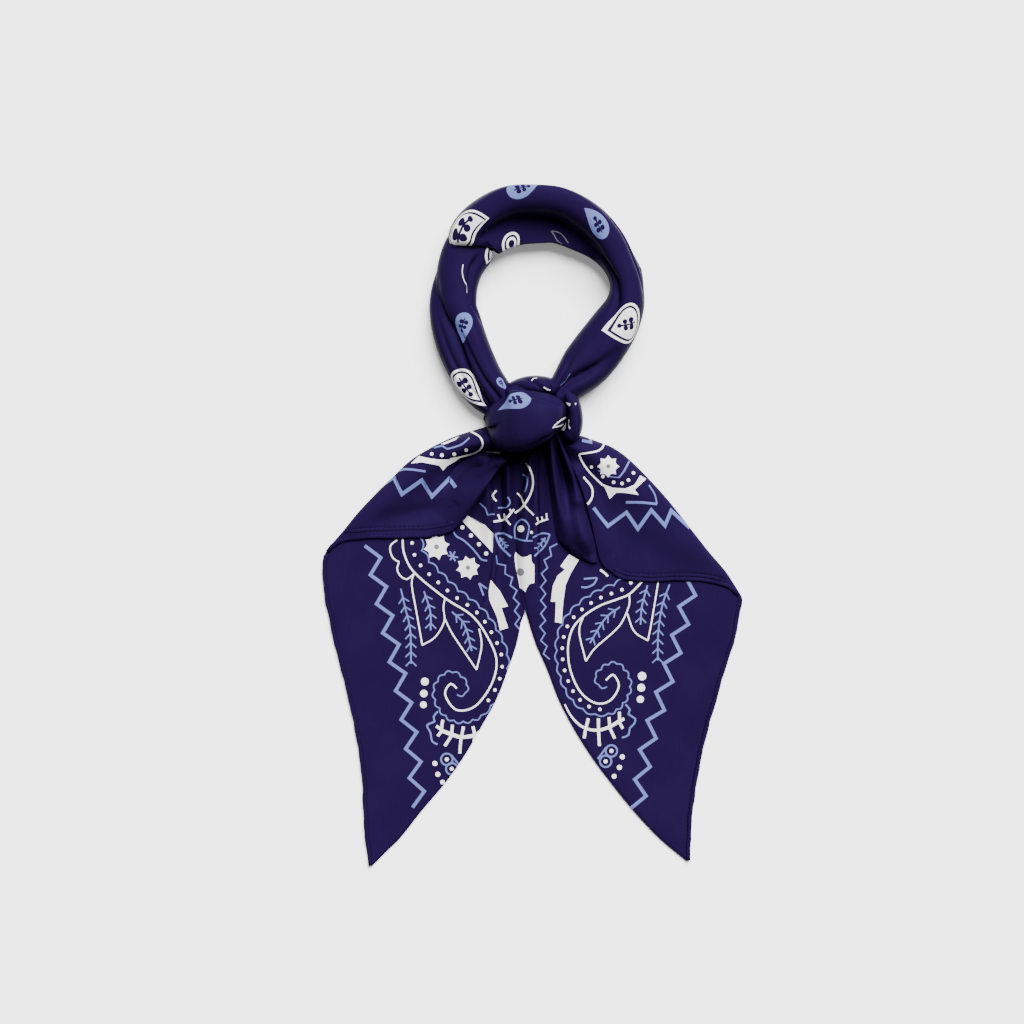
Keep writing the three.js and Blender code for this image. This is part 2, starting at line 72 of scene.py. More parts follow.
# How far a tail's cloth ends inside its hem and inside the flap's fold, how far a flap's ends inside its
# hem, and where along Y the right tail starts to lap over the left one and does so fully.
TAIL_INSET = 1.2
UNDER_FOLD = 4.5
FLAP_INSET = 1.0
LAP = (-58, -48)

# The rolled hems: half a hem's width and height, the same of a flap's upper hem and of a tail's lower one,
# how high the middle of a tail's upper one lies, the distance between two stitches, and half the width and
# height of their thread.
HEM_RADIUS = 1.25
HEM_RISE = 0.62
FLAP_UPPER_HEM = (1.1, 0.42)
LOWER_HEM = (1.2, 0.61)
UPPER_HEM_HEIGHT = 1.85
STITCH_PITCH = 2.6
THREAD = (0.17, 0.14)

# A roll's section: how high its widest place lies, as a share of its top; how full its sides are; how far a
# leaning crown moves over and how much steeper it gets behind; how fast its underside comes down to rest.
WAIST = 0.42
SIDE_POWER = 0.8
LEAN_SHIFT = 0.5
LEAN_POWER = 1.8
UNDER_SHARE = 1.1
UNDER_POWER = 0.6

# The satin's roughness and how much it changes over the cloth
ROUGHNESS = 0.36
ROUGHNESS_CHANGE = 0.14

# The mesh: its rows' distance as a share of its points' spacing, the least area of an outline in the print
# and how close two points may come.
ROW_SHARE = 0.87
LEAST_AREA = 0.002
CLOSEST = 1e-4

# Rolled stretches: the line of each one, half its width, its top, and how far its crown leans to the
# left of its run, as a share of half its width.
ROLL_COLUMNS = ("x", "y", "half", "top", "lean")
RING_ROLL = [
    (-33.6, 162.4, 15.5, 26, 0.35),
    (-32.6, 169.2, 15.9, 28, 0.45),
    (-24, 176, 16.9, 30, 0.7),
    (-12, 181, 17.5, 31, 1.0),
    (2, 182, 16.9, 32, 1.1),
    (16, 181, 16.2, 32, 1.0),
    (31, 174, 14.8, 31, 0.8),
    (43, 164.5, 12.0, 29, 0.4),
    (51, 153, 9.6, 27, 0),
    (55, 141, 9.6, 26, 0),
    (54, 129, 11.6, 26, 0.1),
    (48, 117, 13.9, 26, 0.1),
    (39, 104, 14.9, 25, 0),
    (30, 93, 14.2, 25, 0),
    (21, 83, 10.8, 25, 0),
    (14, 76, 8, 24, 0),
]
INNER_ROLL = [
    (-33, 167, 14.0, 19, 0),
    (-38, 160, 14.5, 21, 0),
    (-42, 151, 13.3, 22, 0),
    (-44, 140, 12.3, 23, 0.1),
    (-43, 128, 11.0, 24, 0.1),
    (-39, 119, 9.7, 24, 0.1),
    (-35, 109, 8.9, 24, 0.1),
    (-31, 99, 8.7, 24, 0),
    (-26, 88, 8.7, 24, 0),
    (-19, 77, 8.4, 23, 0),
    (-12.5, 67, 7, 20, 0),
]
OUTER_ROLL = [
    (-51.5, 155, 1.5, 6, 0),
    (-53.3, 148.5, 2.8, 9, 0),
    (-54, 142, 4.2, 11.5, 0),
    (-54, 136, 5.6, 13.5, 0),
    (-53, 130, 7.2, 15.5, 0),
    (-51, 119, 8.3, 18, 0),
    (-48, 108, 8.6, 19, 0),
    (-44, 97, 8.2, 19, 0),
    (-38, 85, 7.6, 19, 0),
    (-31, 75, 6.2, 18, 0),
    (-24, 68, 4.2, 15, 0),
]
KNOT_BAND = [
    (-28, 63.6, 3, 16, 0),
    (-25.6, 63.3, 7, 23, 0.1),
    (-22, 62.6, 11.8, 28, 0.1),
    (-16.4, 61.4, 16.6, 34, 0),
    (-11, 61.3, 18, 39.5, -0.2),
    (-4, 62, 17.3, 41.5, -0.4),
    (4, 63.2, 15.2, 42, -0.4),
    (11, 63.8, 12.6, 40, -0.2),
    (16, 63.3, 9.4, 36, 0),
    (20, 62.6, 5.4, 28, 0),
]
KNOT_BACK = [
    (-17, 75, 4, 22, 0),
    (-10, 79, 6, 27, 0),
    (-1, 81.5, 6.4, 29, 0),
    (9, 81, 6, 28, 0),
    (16, 77, 5, 24, 0),
]
KNOT_SIDE = [
    (17, 81, 4, 22, 0),
    (22, 74, 4.8, 26, 0),
    (24.5, 65, 5, 27, 0),
    (24, 56, 4.8, 25, 0),
    (19, 49, 4, 20, 0),
]

# Creases of the rolls, each as points along it: a row of the roll's table; the angle there, from the left
# side over the top, in degrees; its reach before and after that angle; its depth, below zero for a ridge.
RING_CREASES = [
    [
        (0, 112, 10, 18, 1.5), (1.2, 115, 10, 20, 3.6), (2.4, 124, 14, 22, 6.4), (3.5, 130, 18, 26, 8),
        (5, 134, 20, 28, 8), (6.6, 138, 18, 30, 5), (8, 142, 14, 30, 0),
    ],
    [(0, 152, 16, 14, -1.5), (1.2, 154, 16, 14, -2.6), (2.2, 158, 14, 12, -1.4), (3.2, 164, 12, 12, 0)],
    [(7.6, 352, 10, 10, 0), (8.5, 354, 9, 9, -1.8), (9.3, 356, 10, 10, 0)],
    [(6.4, 150, 14, 8, 0), (8, 140, 14, 6, 2.2), (9.4, 128, 16, 5, 3.6), (10.6, 108, 14, 6, 3),
     (12, 82, 12, 8, 0)],
    [(11.6, 58, 16, 10, 0), (12.4, 68, 18, 9, 2.6), (13.1, 80, 18, 8, 4.8), (13.9, 94, 14, 7, 4),
     (15, 98, 10, 7, 2.4)],
    [(12.4, 124, 7, 13, 0), (13.4, 122, 7, 13, 2.2), (15, 114, 7, 12, 2)],
    [(4.6, 18, 8, 14, 0), (6.4, 22, 7, 14, 1.3), (8.4, 27, 7, 14, 1.8), (9.8, 20, 8, 14, 0)],
    [(0.6, 330, 12, 8, 0), (3, 338, 12, 8, 1.6), (6, 332, 12, 8, 1.2), (9, 340, 12, 8, 1.8),
     (13, 334, 12, 8, 0)],
    [(8, 204, 8, 12, 0), (10, 210, 8, 12, 1.6), (13, 202, 8, 12, 1.4), (14.6, 206, 8, 12, 0)],
]
INNER_CREASES = [
    [(0.4, 64, 16, 6, 0), (1.6, 66, 16, 5, 2.6), (3, 60, 16, 5, 2.8), (4.2, 46, 14, 6, 2),
     (5.6, 26, 10, 8, 0)],
    [(4.6, 122, 7, 13, 0), (6.4, 114, 7, 13, 1.5), (9, 98, 7, 13, 2.4)],
    [(2.4, 152, 12, 8, 0), (4, 146, 12, 8, 1.6), (7, 150, 12, 8, 1.2), (8.6, 150, 12, 8, 0)],
    [(3, 334, 12, 8, 0), (5, 340, 12, 8, 1.2), (8, 334, 12, 8, 0)],
]
OUTER_CREASES = [
    [(3.6, 112, 8, 14, 0), (5.6, 104, 8, 14, 1.2), (8, 96, 8, 14, 1.9), (10, 92, 8, 14, 1.2)],
    [(5, 204, 9, 9, 0), (7, 210, 9, 9, 1.2), (9, 204, 9, 9, 0)],
]
KNOT_CREASES = [
    [(0.9, 174, 14, 12, 2.6), (1.4, 152, 12, 13, 4.8), (1.9, 130, 10, 15, 4.8), (2.4, 110, 8, 14, 2.4),
     (2.9, 98, 8, 12, 0)],
    [(3.2, 26, 7, 12, 0), (5.3, 32, 6, 12, 1.4), (7.2, 44, 6, 12, 1.8), (8.8, 66, 8, 10, 0)],
    [(4.6, 158, 16, 7, 0), (6, 152, 16, 6, 1.4), (7.6, 156, 14, 6, 1.8), (8.8, 168, 12, 8, 0)],
    [(1.5, 336, 12, 12, 0), (3, 338, 12, 12, 2.2), (6.7, 338, 12, 12, 2), (8.4, 336, 12, 12, 0)],
]
BACK_CREASES = [
    [(0.6, 60, 14, 8, 0), (1.3, 84, 14, 7, 1.6), (2, 120, 12, 8, 0)],
    [(1.6, 50, 14, 8, 0), (2.2, 80, 14, 7, 1.8), (2.9, 122, 12, 8, 0)],
    [(2.6, 56, 14, 8, 0), (3.1, 86, 14, 7, 1.4), (3.6, 118, 12, 8, 0)],
]
SIDE_CREASES = [
    [(0.8, 70, 12, 6, 0), (1.8, 78, 14, 6, 1.4), (2.8, 72, 12, 6, 1.2), (3.6, 66, 10, 8, 0)],
]

# The tails, from the knot to the tip, and the flaps, across the bandana: their two edges.
TAIL_COLUMNS = ("y", "left", "right")
LEFT_TAIL = [
    (58, -30, -4.1),
    (50, -44, -4.1),
    (33, -76, -4.1),
    (21, -90, -6.5),
    (10, -100.6, -8.8),
    (-2, -110.6, -10.6),
    (-10, -117.2, -11),
    (-16.5, -121.6, -11),
    (-21, -122.9, -10.6),
    (-31, -122.9, -9.6),
    (-43, -121.5, -7.6),
    (-53, -119.4, -6.4),
    (-68, -116.3, -8.8),
    (-84, -112.1, -14.1),
    (-101, -108, -20.6),
    (-117, -104.5, -29.4),
    (-134, -101.6, -39.3),
    (-150, -99.8, -50.5),
    (-166, -99.2, -64),
    (-183, -98.1, -77.5),
    (-192, -96.9, -86.7),
    (-200, -95.7, -94.5),
]
RIGHT_TAIL = [
    (58, -3.4, 20),
    (50, -3.4, 30),
    (33, -3.7, 63),
    (21, -6.1, 75),
    (10, -8.4, 84.6),
    (-2, -10.2, 94),
    (-10, -10.8, 100.4),
    (-18, -10.2, 106.8),
    (-27, -9.2, 114.3),
    (-35, -7.6, 119.6),
    (-39.5, -6.7, 122.4),
    (-43, -5.8, 123.3),
    (-51, -3.5, 122.1),
    (-68, 1.8, 118.6),
    (-84, 8.8, 113.3),
    (-101, 15.3, 108.6),
    (-117, 23.5, 103.9),
    (-134, 34, 99.8),
    (-150, 45.8, 96.9),
    (-166, 58.7, 94.5),
    (-183, 74.6, 93.3),
    (-197, 91.3, 93),
]
FLAP_COLUMNS = ("x", "low", "high")
LEFT_FLAP = [
    (-122.5, -20.8, -17.3),
    (-118, -13.2, -10.8),
    (-111, -9.2, -2.6),
    (-102, -7.6, 8.5),
    (-92, -7.2, 19.1),
    (-82, -7, 29),
    (-72, -6.9, 38.4),
    (-60, -6.1, 46),
    (-48, -3.8, 51.9),
    (-40, 2.7, 54.8),
    (-34, 10.9, 56.6),
    (-28, 20.2, 58.3),
    (-21, 30.8, 59.5),
    (-12, 40, 60.1),
]
RIGHT_FLAP = [
    (12, 52, 58.4),
    (20, 44, 55.8),
    (25, 31, 54.2),
    (30, 18, 53),
    (35, 0, 51.2),
    (40, -20.5, 49.4),
    (47, -27.6, 46.6),
    (55, -31.2, 41.2),
    (66, -32.5, 30.8),
    (80, -32.2, 15.5),
    (93, -31.9, -0.9),
    (104, -33.1, -14.9),
    (114, -35.5, -26.6),
    (119, -39, -34.3),
    (123, -44.3, -40.7),
]
TONGUE = [
    (56, 7, 15),
    (39, 8.1, 22.7),
    (27, 9.3, 27.4),
    (16, 9.9, 31.5),
    (4, 11.6, 34.4),
    (-8, 15.1, 37),
    (-15, 22.7, 37.9),
    (-21, 33, 38.5),
]

# The folds: points along each crest, with its reach to the left and to the right of its run and its rise,
# which is below zero for a pleat's hollow.
LEFT_TAIL_FOLDS = [
    [(-27, 38, 5, 7, 11), (-23.5, 2.6, 1.6, 6, 5), (-23.5, -20, 1.3, 7, 3), (-28, -38, 1.3, 8, 1.9),
     (-34, -56, 1.8, 9, 0.9), (-42, -74, 4, 8, 0)],
    [(-14, 34, 2.5, 3.5, 9), (-13.4, 2.6, 2.2, 3.4, 4.8), (-13.2, -20, 2.6, 3, 2.2), (-14, -48, 4, 4, 0.4)],
    [(-19.5, 30, 2.2, 2, -5), (-18.6, 2.6, 2, 2, -2.6), (-18.4, -16, 2, 2, 0)],
    [(-22.4, 28, 1.3, 1.5, -6), (-22.3, 2.6, 1.3, 1.5, -5), (-22.2, -20, 1.2, 1.4, -3.6),
     (-24, -36, 1.2, 1.4, -2.4), (-27, -46, 1.4, 1.6, 0)],
]
RIGHT_TAIL_FOLDS = [
    [(-1, 39, 3.5, 4.5, 13), (-4, 2.6, 5.5, 4.6, 7), (-4, -19.7, 5, 4.6, 4), (-1, -49, 5, 6, 1.2)],
    [(2.2, 40, 1.6, 4, -6), (2.4, 2.6, 1.5, 2.8, -4.6), (2.6, -20, 1.4, 2.4, -2.6), (4, -44, 1.6, 3, 0)],
    [(12, 33, 4, 5, 3), (11.4, 2.6, 4, 5, 3), (11.6, -31, 5, 7, 2), (16, -67, 7, 7, 0.8)],
]
LEFT_FLAP_FOLDS = [
    [(-20, 52, 6, 7, 15), (-44, 45, 5.5, 8, 8.5), (-62, 34, 7, 9, 4.5), (-104, 0, 7, 7, 1.2)],
    [(-17, 38, 5, 10, 17), (-29, 22, 4, 11, 12.5), (-39, 9, 3.5, 12, 7), (-48, 0, 6, 10, 2)],
    [(-48, 12, 7, 4.5, -1), (-66, 8.5, 8, 4.5, -2.2), (-84, 4, 8, 5, -1.4), (-98, -1, 7, 6, 0)],
    [(-15, 43.5, 3, 2.4, -7), (-25, 41.8, 3, 2.2, -9), (-35, 38.6, 3.2, 2.4, -8.6), (-44, 32.4, 3.4, 2.8, -6),
     (-49, 23, 4, 4, -1.6), (-52, 14, 4, 4, 0)],
    [(-21, 33, 3, 3, -3), (-31, 27.5, 3, 3, -2.4), (-41, 20, 3.4, 3.4, 0)],
]
RIGHT_FLAP_FOLDS = [
    [(24, 48, 8, 8, 12), (40, 38, 9, 9, 7), (60, 22, 12, 12, 4), (108, -26, 8, 8, 1)],
    [(26, 30, 5, 8, 9), (36, 4, 5, 8, 5), (44, -18, 6, 9, 1.5)],
    [(50, 6, 7, 7, 0), (72, -4, 7, 9, 1.2), (98, -22, 8, 8, 0)],
    [(20, 51, 2.4, 2.2, -5), (27, 49, 2.4, 2.2, -4), (35, 47.6, 3, 3, 0)],
]
TONGUE_FOLDS = [
    [(10.5, 50, 3, 2.4, 12), (12.5, 30, 3.4, 2.6, 9), (15.5, 14, 4, 3, 6), (19.5, -2, 4, 4, 4),
     (23, -12, 4, 4, 1)],
    [(16, 52, 3, 3, 13), (22.5, 36, 3, 4, 12), (26, 24, 4, 4, 7), (27, 16, 5, 4, 5)],
    [(20, 26, 4, 6, 0), (24, 14, 5, 6, 4), (27.4, 2, 5.5, 6, 7), (30.4, -8, 5, 5.5, 7.5),
     (33.4, -17, 4, 4, 0)],
    [(13.4, 50, 1.8, 2, -5), (16.6, 36, 1.8, 2.2, -6.5), (19.4, 25, 2.2, 3, -5), (20.4, 14, 3, 4, -2),
     (21, 4, 4, 4, 0)],
]

# The distance between points on a crest, and the reach below which a fold's side is so sharp that the mesh
# needs more points there
CREST_STEP = 4
SHARP = 3.0

# The flaps' hems: where along X each one starts and ends, and how far its two plies' hems lie apart
FLAP_HEMS = {"left_flap": (-46, -120, 5.5), "right_flap": (48, 121, 3.6)}

# Inks, as the print's outlines name them. Grey is the flowers' middles, and it is also painted shade: thin
# grey lines on the ring's top stand for a pale drop in shade.
CLOTH, WHITE, LIGHT, GREY_AND_SHADED = range(4)

# The design in the square's corners, as it lies on each tail: lines and outlines as X and Y; dots and
# flowers as X, Y and radius; ferns as their stem, pairs of twigs and a twig's length; ribs as two ends.
CORNERS = {
    "left": {
        "side": 1,
        "stem": [
            (-76, -7), (-75, -16), (-69, -27), (-51, -42), (-35, -52.5), (-25.5, -66), (-20.8, -79),
            (-24, -93), (-33.5, -105.5), (-44.5, -107.5), (-51, -98.5), (-47.8, -92.2), (-44.2, -95),
        ],
        "band": 10.3,
        "curl": [(-37.4, -95), (-40.5, -99), (-44, -98.6)],
        "first_dot": 3.0,
        "dot_pitch": 7.2,
        "leaves": [
            [(-69, -27), (-70.6, -34), (-67.5, -52), (-64.4, -69.6)],
            [(-64.4, -69.6), (-57, -65), (-51.6, -56), (-52, -47.5), (-51, -42)],
            [(-51.2, -54), (-47, -62.5), (-39, -74.5), (-32.5, -84)],
            [(-32.5, -84), (-29.6, -70), (-31, -60)],
            [(-79.2, -8), (-82.7, -10.6), (-83.3, -14.1), (-81.6, -18.5), (-78, -20.8)],
            [(-78, -20.8), (-79.2, -24.7), (-77.6, -28.6), (-73.7, -31), (-69.4, -27.9)],
        ],
        "ferns": [
            ([(-77, -36.5), (-74.5, -47.5), (-71.5, -61), (-71, -80.5)], 8, 4.4),
            ([(-63.4, -38), (-59.7, -50), (-59.5, -61)], 4, 4.4),
            ([(-47, -50), (-39.7, -57.5), (-35.3, -73)], 5, 4.4),
        ],
        "dots": [
            (-62.9, -91, 2.3), (-63.5, -98, 2.2), (-63.7, -104.6, 2.0),
            (-57, -139, 1.5), (-55.3, -145.4, 1.5), (-52.5, -150, 1.4),
            (-40.9, -0.5, 1.2), (-35.8, -5.3, 1.2), (-31.1, -10.4, 1.2), (-26.9, -15.8, 1.2),
        ],
        "zigzag": [(-94.3, -10.5), (-90.3, -31), (-83, -65), (-75.5, -99), (-70.2, -130), (-66, -166)],
        "spine": [(-53.5, -119.6), (-47, -122), (-41.4, -123.6), (-33.5, -122.4), (-28, -118.8)],
        "spine_wide": 2.1,
        "ribs": [
            (-52.4, -113.4, -53.2, -119.4), (-46.7, -116.4, -47.1, -122), (-40.2, -117.4, -41.4, -123.5),
            (-34.7, -117.2, -33.5, -122.4), (-56.2, -117, -52.6, -119.6), (-55.4, -123, -52.6, -119.6),
            (-51.2, -128.8, -47.1, -122.6), (-42.4, -133.2, -41.7, -124), (-34.3, -128, -33.5, -123),
        ],
        "frill": [(-55.2, -108.4), (-57.8, -111.6), (-57.2, -114.4), (-61.6, -116.6), (-59.6, -121),
                  (-58.6, -126), (-55.4, -127.8)],
        "lobes": [(-50, -136.6), (-47.1, -142.2)],
        "lobe_tail": [(-47.4, -134.2), (-43, -139.6)],
        "bars": [
            [(-41, 3.3), (-37.7, 6.4), (-27.6, 1), (-22.8, -4), (-23.1, -15.5), (-24.4, -13.8), (-33.9, -4)],
            [(-24.2, -31.4), (-18.8, -38), (-14, -46.8), (-17.9, -47.8), (-14, -59.4), (-18.8, -61),
             (-20.6, -53), (-25.1, -43), (-25.4, -38)],
        ],
        "inner_zigzag": [(-22, -18), (-14.5, -27), (-9.6, -41), (-8.2, -62)],
        "lines": [
            ([(-46.6, -2), (-44.5, -5.6), (-40.3, -8), (-35.6, -12.2), (-32, -16.4), (-29.6, -19.4),
              (-26.3, -20)], 1.0, LIGHT),
            ([(-26.3, -36.5), (-31.1, -33.2)], 1.1, LIGHT),
            ([(-31.1, -33.2), (-28.4, -40.4)], 1.1, LIGHT),
            ([(-49.5, -16.9), (-43.3, -18.2)], 1.0, LIGHT),
            ([(-48.3, -14.6), (-45, -20.4)], 1.0, LIGHT),
            ([(-45.2, -14.6), (-48, -19.8)], 1.0, LIGHT),
        ],
        "flowers": [(-56, -11.9, 7.6), (-37.6, -24.2, 6.9)],
    },
    "right": {
        "side": -1,
        "stem": [
            (66, -31), (57.4, -39.4), (50.2, -42.6), (40, -46.4), (30.4, -52.5), (23.8, -60), (21.1, -71),
            (22.6, -84.5), (28.5, -97.2), (37.5, -103.7), (46, -102), (51, -93.6), (47.6, -87), (43.4, -90.2),
        ],
        "band": 8.2,
        "curl": [(37, -89.6), (39.8, -93.6), (44, -94)],
        "first_dot": 7.1,
        "dot_pitch": 6.6,
        "leaves": [
            [(30, -53), (27.7, -62), (31.6, -79)],
            [(31.6, -79), (37, -71.4), (46.6, -63), (52.6, -56.4), (57, -46), (57, -39.5)],
            [(55.8, -51), (60, -61.5), (68, -67)],
            [(68, -67), (70, -57), (74, -33)],
        ],
        "ferns": [
            ([(80.7, -34), (76.5, -46.2), (74.1, -61.8), (73.8, -78.6)], 8, 4.4),
            ([(67.8, -34.5), (64.5, -46.8), (63.7, -57.6)], 4, 4.4),
            ([(51.6, -47.2), (43, -54), (34, -68.4)], 5, 4.4),
        ],
        "dots": [
            (64.6, -87.8, 2.5), (64.1, -94.6, 2.3), (63.6, -101.4, 2.1),
            (53, -135.2, 1.5), (51.3, -141.4, 1.5), (48.2, -146.6, 1.4),
        ],
        "zigzag": [(94.2, -31), (90.5, -46), (86.3, -63), (77, -96.5), (67.4, -130), (61.5, -168)],
        "spine": [(19.2, -104.4), (23.5, -112), (30, -117.8), (37.7, -119.6), (45, -117.8), (52.2, -113.6)],
        "spine_wide": 0.8,
        "ribs": [
            (33.1, -112.6, 31.7, -118), (39, -112.6, 39, -119.2), (45.2, -111.9, 45.6, -117.1),
            (51.3, -108.8, 51.4, -114.2), (30.6, -124.2, 31.5, -118.6), (39.6, -128.8, 39, -119.8),
            (48.6, -124.4, 45.6, -118.2), (53.3, -118.6, 51, -114.4), (54.2, -112.8, 51, -114.4),
        ],
        "frill": [(54.8, -104.4), (57.4, -107.4), (56.6, -110.2), (60.6, -112.8), (59.8, -116),
                  (57.4, -118.4), (56.6, -122.4), (52.8, -123.9)],
        "lobes": [(46.6, -131.7), (43.2, -137.8)],
        "lobe_tail": [(43.6, -129.6), (38.6, -136.4)],
        "bars": [
            [(21.7, -16.3), (27.4, -19.6), (22.6, -27.7), (19.7, -34.3), (18.2, -45), (17.4, -56.7),
             (13.5, -56.1), (14, -44.1), (11, -44.1), (12.2, -34.9), (14.9, -28.9), (19.3, -25.3),
             (16.7, -23.2)],
        ],
        "inner_zigzag": [(13.4, -9.5), (8.6, -20), (6.6, -32), (6.7, -50), (6.2, -63), (9.4, -81)],
        "lines": [
            ([(30.4, -30.7), (38.2, -30.1)], 1.1, LIGHT),
            ([(38.2, -30.1), (36.4, -33.7), (32.2, -35.7), (28.9, -35.5)], 1.1, LIGHT),
            ([(40, -25.4), (42.4, -27), (44.5, -29.2)], 1.2, WHITE),
        ],
        "flowers": [],
    },
}

# The flaps' print. Lines are points, a width and an ink; fills are outlines and an ink.
FLAP_PRINTS = {
    "left_flap": {
        "angles": [
            ([(-94.4, 20.1), (-81, 29), (-76.2, 18.9), (-64.5, 27.1), (-58.7, 17.6), (-48.6, 28.1),
              (-44.7, 23)], 2.2, LIGHT),
        ],
        "fills": [
            ([(-66.4, 41.4), (-55, 39.2), (-46, 39.2), (-41, 41), (-44.5, 38.4), (-49.8, 35.4), (-52.1, 32.8),
              (-54.3, 35.7), (-64.5, 37.6), (-71, 37)], WHITE),
            ([(-53.6, 48.4), (-42.8, 52.8), (-44.7, 50.7), (-51.1, 48.1)], WHITE),
        ],
        "lines": [
            ([(-48, 39.4), (-42, 40.6), (-32.7, 43.3), (-28.9, 47), (-30.2, 52), (-36, 55.8)], 1.0, WHITE),
            ([(-81.5, 31.6), (-75.3, 33.5), (-68.9, 33.2), (-62.2, 32.2)], 1.3, LIGHT),
            ([(-57.5, 46.2), (-52.4, 47.2), (-49.8, 45.4), (-44.1, 46.8), (-40.3, 48.4), (-36.5, 51.9)],
             1.0, LIGHT),
            ([(-26.9, 43.6), (-18.5, 43)], 0.8, WHITE),
            ([(-45.6, 29.6), (-43.4, 32.2)], 0.8, WHITE),
        ],
        "dots": [(-58.7, 42.5, 1.0), (-52.7, 41.7, 1.1), (-45.4, 42.2, 1.1), (-38.4, 44.5, 1.1)],
        "flowers": [],
    },
    "right_flap": {
        "angles": [
            ([(36, 11), (44.5, 0.3), (55.3, 8.3), (62, -1.4), (69.8, 9.6), (77.8, 0.6), (81.5, 9.3),
              (92.5, -0.8)], 2.1, LIGHT),
            ([(34.2, 52.8), (34.3, 49.3), (29.2, 50.4)], 1.7, LIGHT),
        ],
        "fills": [
            ([(39.2, 25.6), (47.4, 22.7), (54.6, 22.3), (60, 24.6), (63.3, 30), (66.9, 27.9), (60, 21.6),
              (62.4, 18.5), (54.6, 19.7), (49.2, 19.8), (45.5, 16.1), (42.5, 23)], WHITE),
        ],
        "lines": [
            ([(54.9, 14.2), (64, 14.1), (73.1, 13.2)], 1.5, LIGHT),
            ([(73.1, 13.2), (71.8, 18.9), (68.4, 24.3)], 0.9, LIGHT),
            ([(27.3, 42.1), (29.4, 37.6), (33.7, 31.7), (41.3, 24.2)], 1.0, WHITE),
            ([(27.3, 42.1), (39.1, 44.5), (42.8, 49.3)], 1.0, WHITE),
            ([(38.5, 33), (44, 29.6), (50.6, 28.6)], 0.6, LIGHT),
            ([(50.6, 28.6), (53.6, 32.2), (57, 38.4)], 1.1, LIGHT),
            ([(30, 29), (34.9, 23), (35.2, 17.4), (32.4, 13)], 1.1, WHITE),
        ],
        "dots": [
            (34.7, 34.8, 0.9), (41.4, 29.3, 1.0), (47.7, 25.9, 1.0), (52.6, 25.2, 1.0), (56.3, 27.2, 1.0),
            (59.3, 31.4, 1.0),
        ],
        "flowers": [(44.5, 35.2, 6.4)],
    },
    "right_tongue": {
        "angles": [],
        "fills": [],
        "lines": [([(19.2, 46.6), (22.8, 42.8), (25, 38.6), (26.4, 34.5)], 1.2, WHITE)],
        "dots": [],
        "flowers": [],
    },
}

# The drops on the ring and the knot, where they show from above: X and Y, the way the tip points in
# degrees, its length and width, how far the tip leans over, and whether it is white and framed.
DROPS = {
    "ring_band": [
        (-4.2, 195.6, 15, 20, 12, 1.8, False),
        (37.4, 175.6, 130, 21, 12, 1.8, False),
        (-38, 175.6, 36, 38, 19, -4.5, True),
        (52.4, 116.4, 188, 25, 23, 2.2, True),
        (-11.5, 160, 262, 18, 12, 2.2, True),
    ],
    "ring_inner_roll": [
        (-40.6, 114.8, 252, 18.4, 10.4, 1.8, False),
        (-17.4, 82.4, 300, 9, 5, 1.8, False),
        (-24, 158.6, 232, 15, 10.4, 2.2, True),
    ],
    "ring_outer_roll": [(-37.4, 79, 306, 28, 17, 2.2, True)],
    "knot_band": [(-11.4, 72.6, 201, 24, 11.4, 3.6, False)],
    "knot_back": [],
    "knot_side": [],
}

# A framed drop from its edge inwards: how far in each outline lies and its ink. A narrow one has all four,
# and a broader one has a sprig in place of the last.
FRAME = ((0, WHITE), (1.4, CLOTH), (2.6, WHITE), (4.0, CLOTH))
BROAD_DROP = 14

# Thin lines on the rolls: points in X and Y, a width and an ink
ROLL_LINES = {
    "ring_inner_roll": [
        ([(-40.9, 151.1), (-40.7, 146.5), (-39.3, 141.8), (-37.4, 138.8), (-38, 135)], 0.42, WHITE),
    ],
    "ring_band": [
        ([(15.7, 82), (19, 84), (22.8, 88)], 0.5, LIGHT),
        # Painted shade: these grey lines stand for a pale drop that lies in shade on the ring's top, in place
        # of its pale fill.
        ([(11.2, 173.4), (14.6, 166.6), (17, 164.6)], 0.5, GREY_AND_SHADED),
        ([(11.4, 173.2), (17.2, 170.2), (21.2, 164.8)], 0.5, GREY_AND_SHADED),
    ],
    "knot_band": [([(20.2, 65), (18.3, 61.4), (15, 58.8), (12, 57.1), (15, 56), (18.6, 55)], 0.95, WHITE)],
    "knot_back": [
        ([(-0.7, 84.2), (1, 85.8), (2.7, 86.2)], 0.7, WHITE),
        ([(6.6, 80.8), (8.4, 79.3), (10.4, 78.9)], 0.7, WHITE),
    ],
    "knot_side": [
        ([(18.2, 71.4), (21.8, 70.4)], 1.5, WHITE),
        ([(24.6, 71), (25.3, 70.9)], 1.2, WHITE),
        ([(22, 61.8), (21, 58.6), (23.6, 56.4)], 1.3, WHITE),
    ],
}


def table(rows, columns):
    """A table as an array for each of its columns, with each row's number."""
    values = np.array(rows, dtype=float).T
    named = dict(zip(columns, values))
    named["row"] = np.arange(len(rows), dtype=float)
    return named


def read(named, key, column, at):
    """A table's column, read at values of its key column through a smooth curve."""
    keys = named[key]
    heights = named[column]
    if keys[0] > keys[-1]:
        keys = -keys
        at = -np.asarray(at, dtype=float)
    at = np.clip(at, keys[0], keys[-1])
    before = np.concatenate([[0], np.arange(len(keys) - 1)])
    after = np.concatenate([np.arange(1, len(keys)), [len(keys) - 1]])
    slopes = (heights[after] - heights[before]) / (keys[after] - keys[before])
    i = np.clip(np.searchsorted(keys, at, side="right") - 1, 0, len(keys) - 2)
    span = keys[i + 1] - keys[i]
    t = (at - keys[i]) / span
    return (
        heights[i] * (2 * t**3 - 3 * t**2 + 1)
        + heights[i + 1] * (3 * t**2 - 2 * t**3)
        + slopes[i] * span * (t**3 - 2 * t**2 + t)
        + slopes[i + 1] * span * (t**3 - t**2)
    )


def mix(a, b, share):
    """From a to b by a share."""
    return a + (b - a) * share


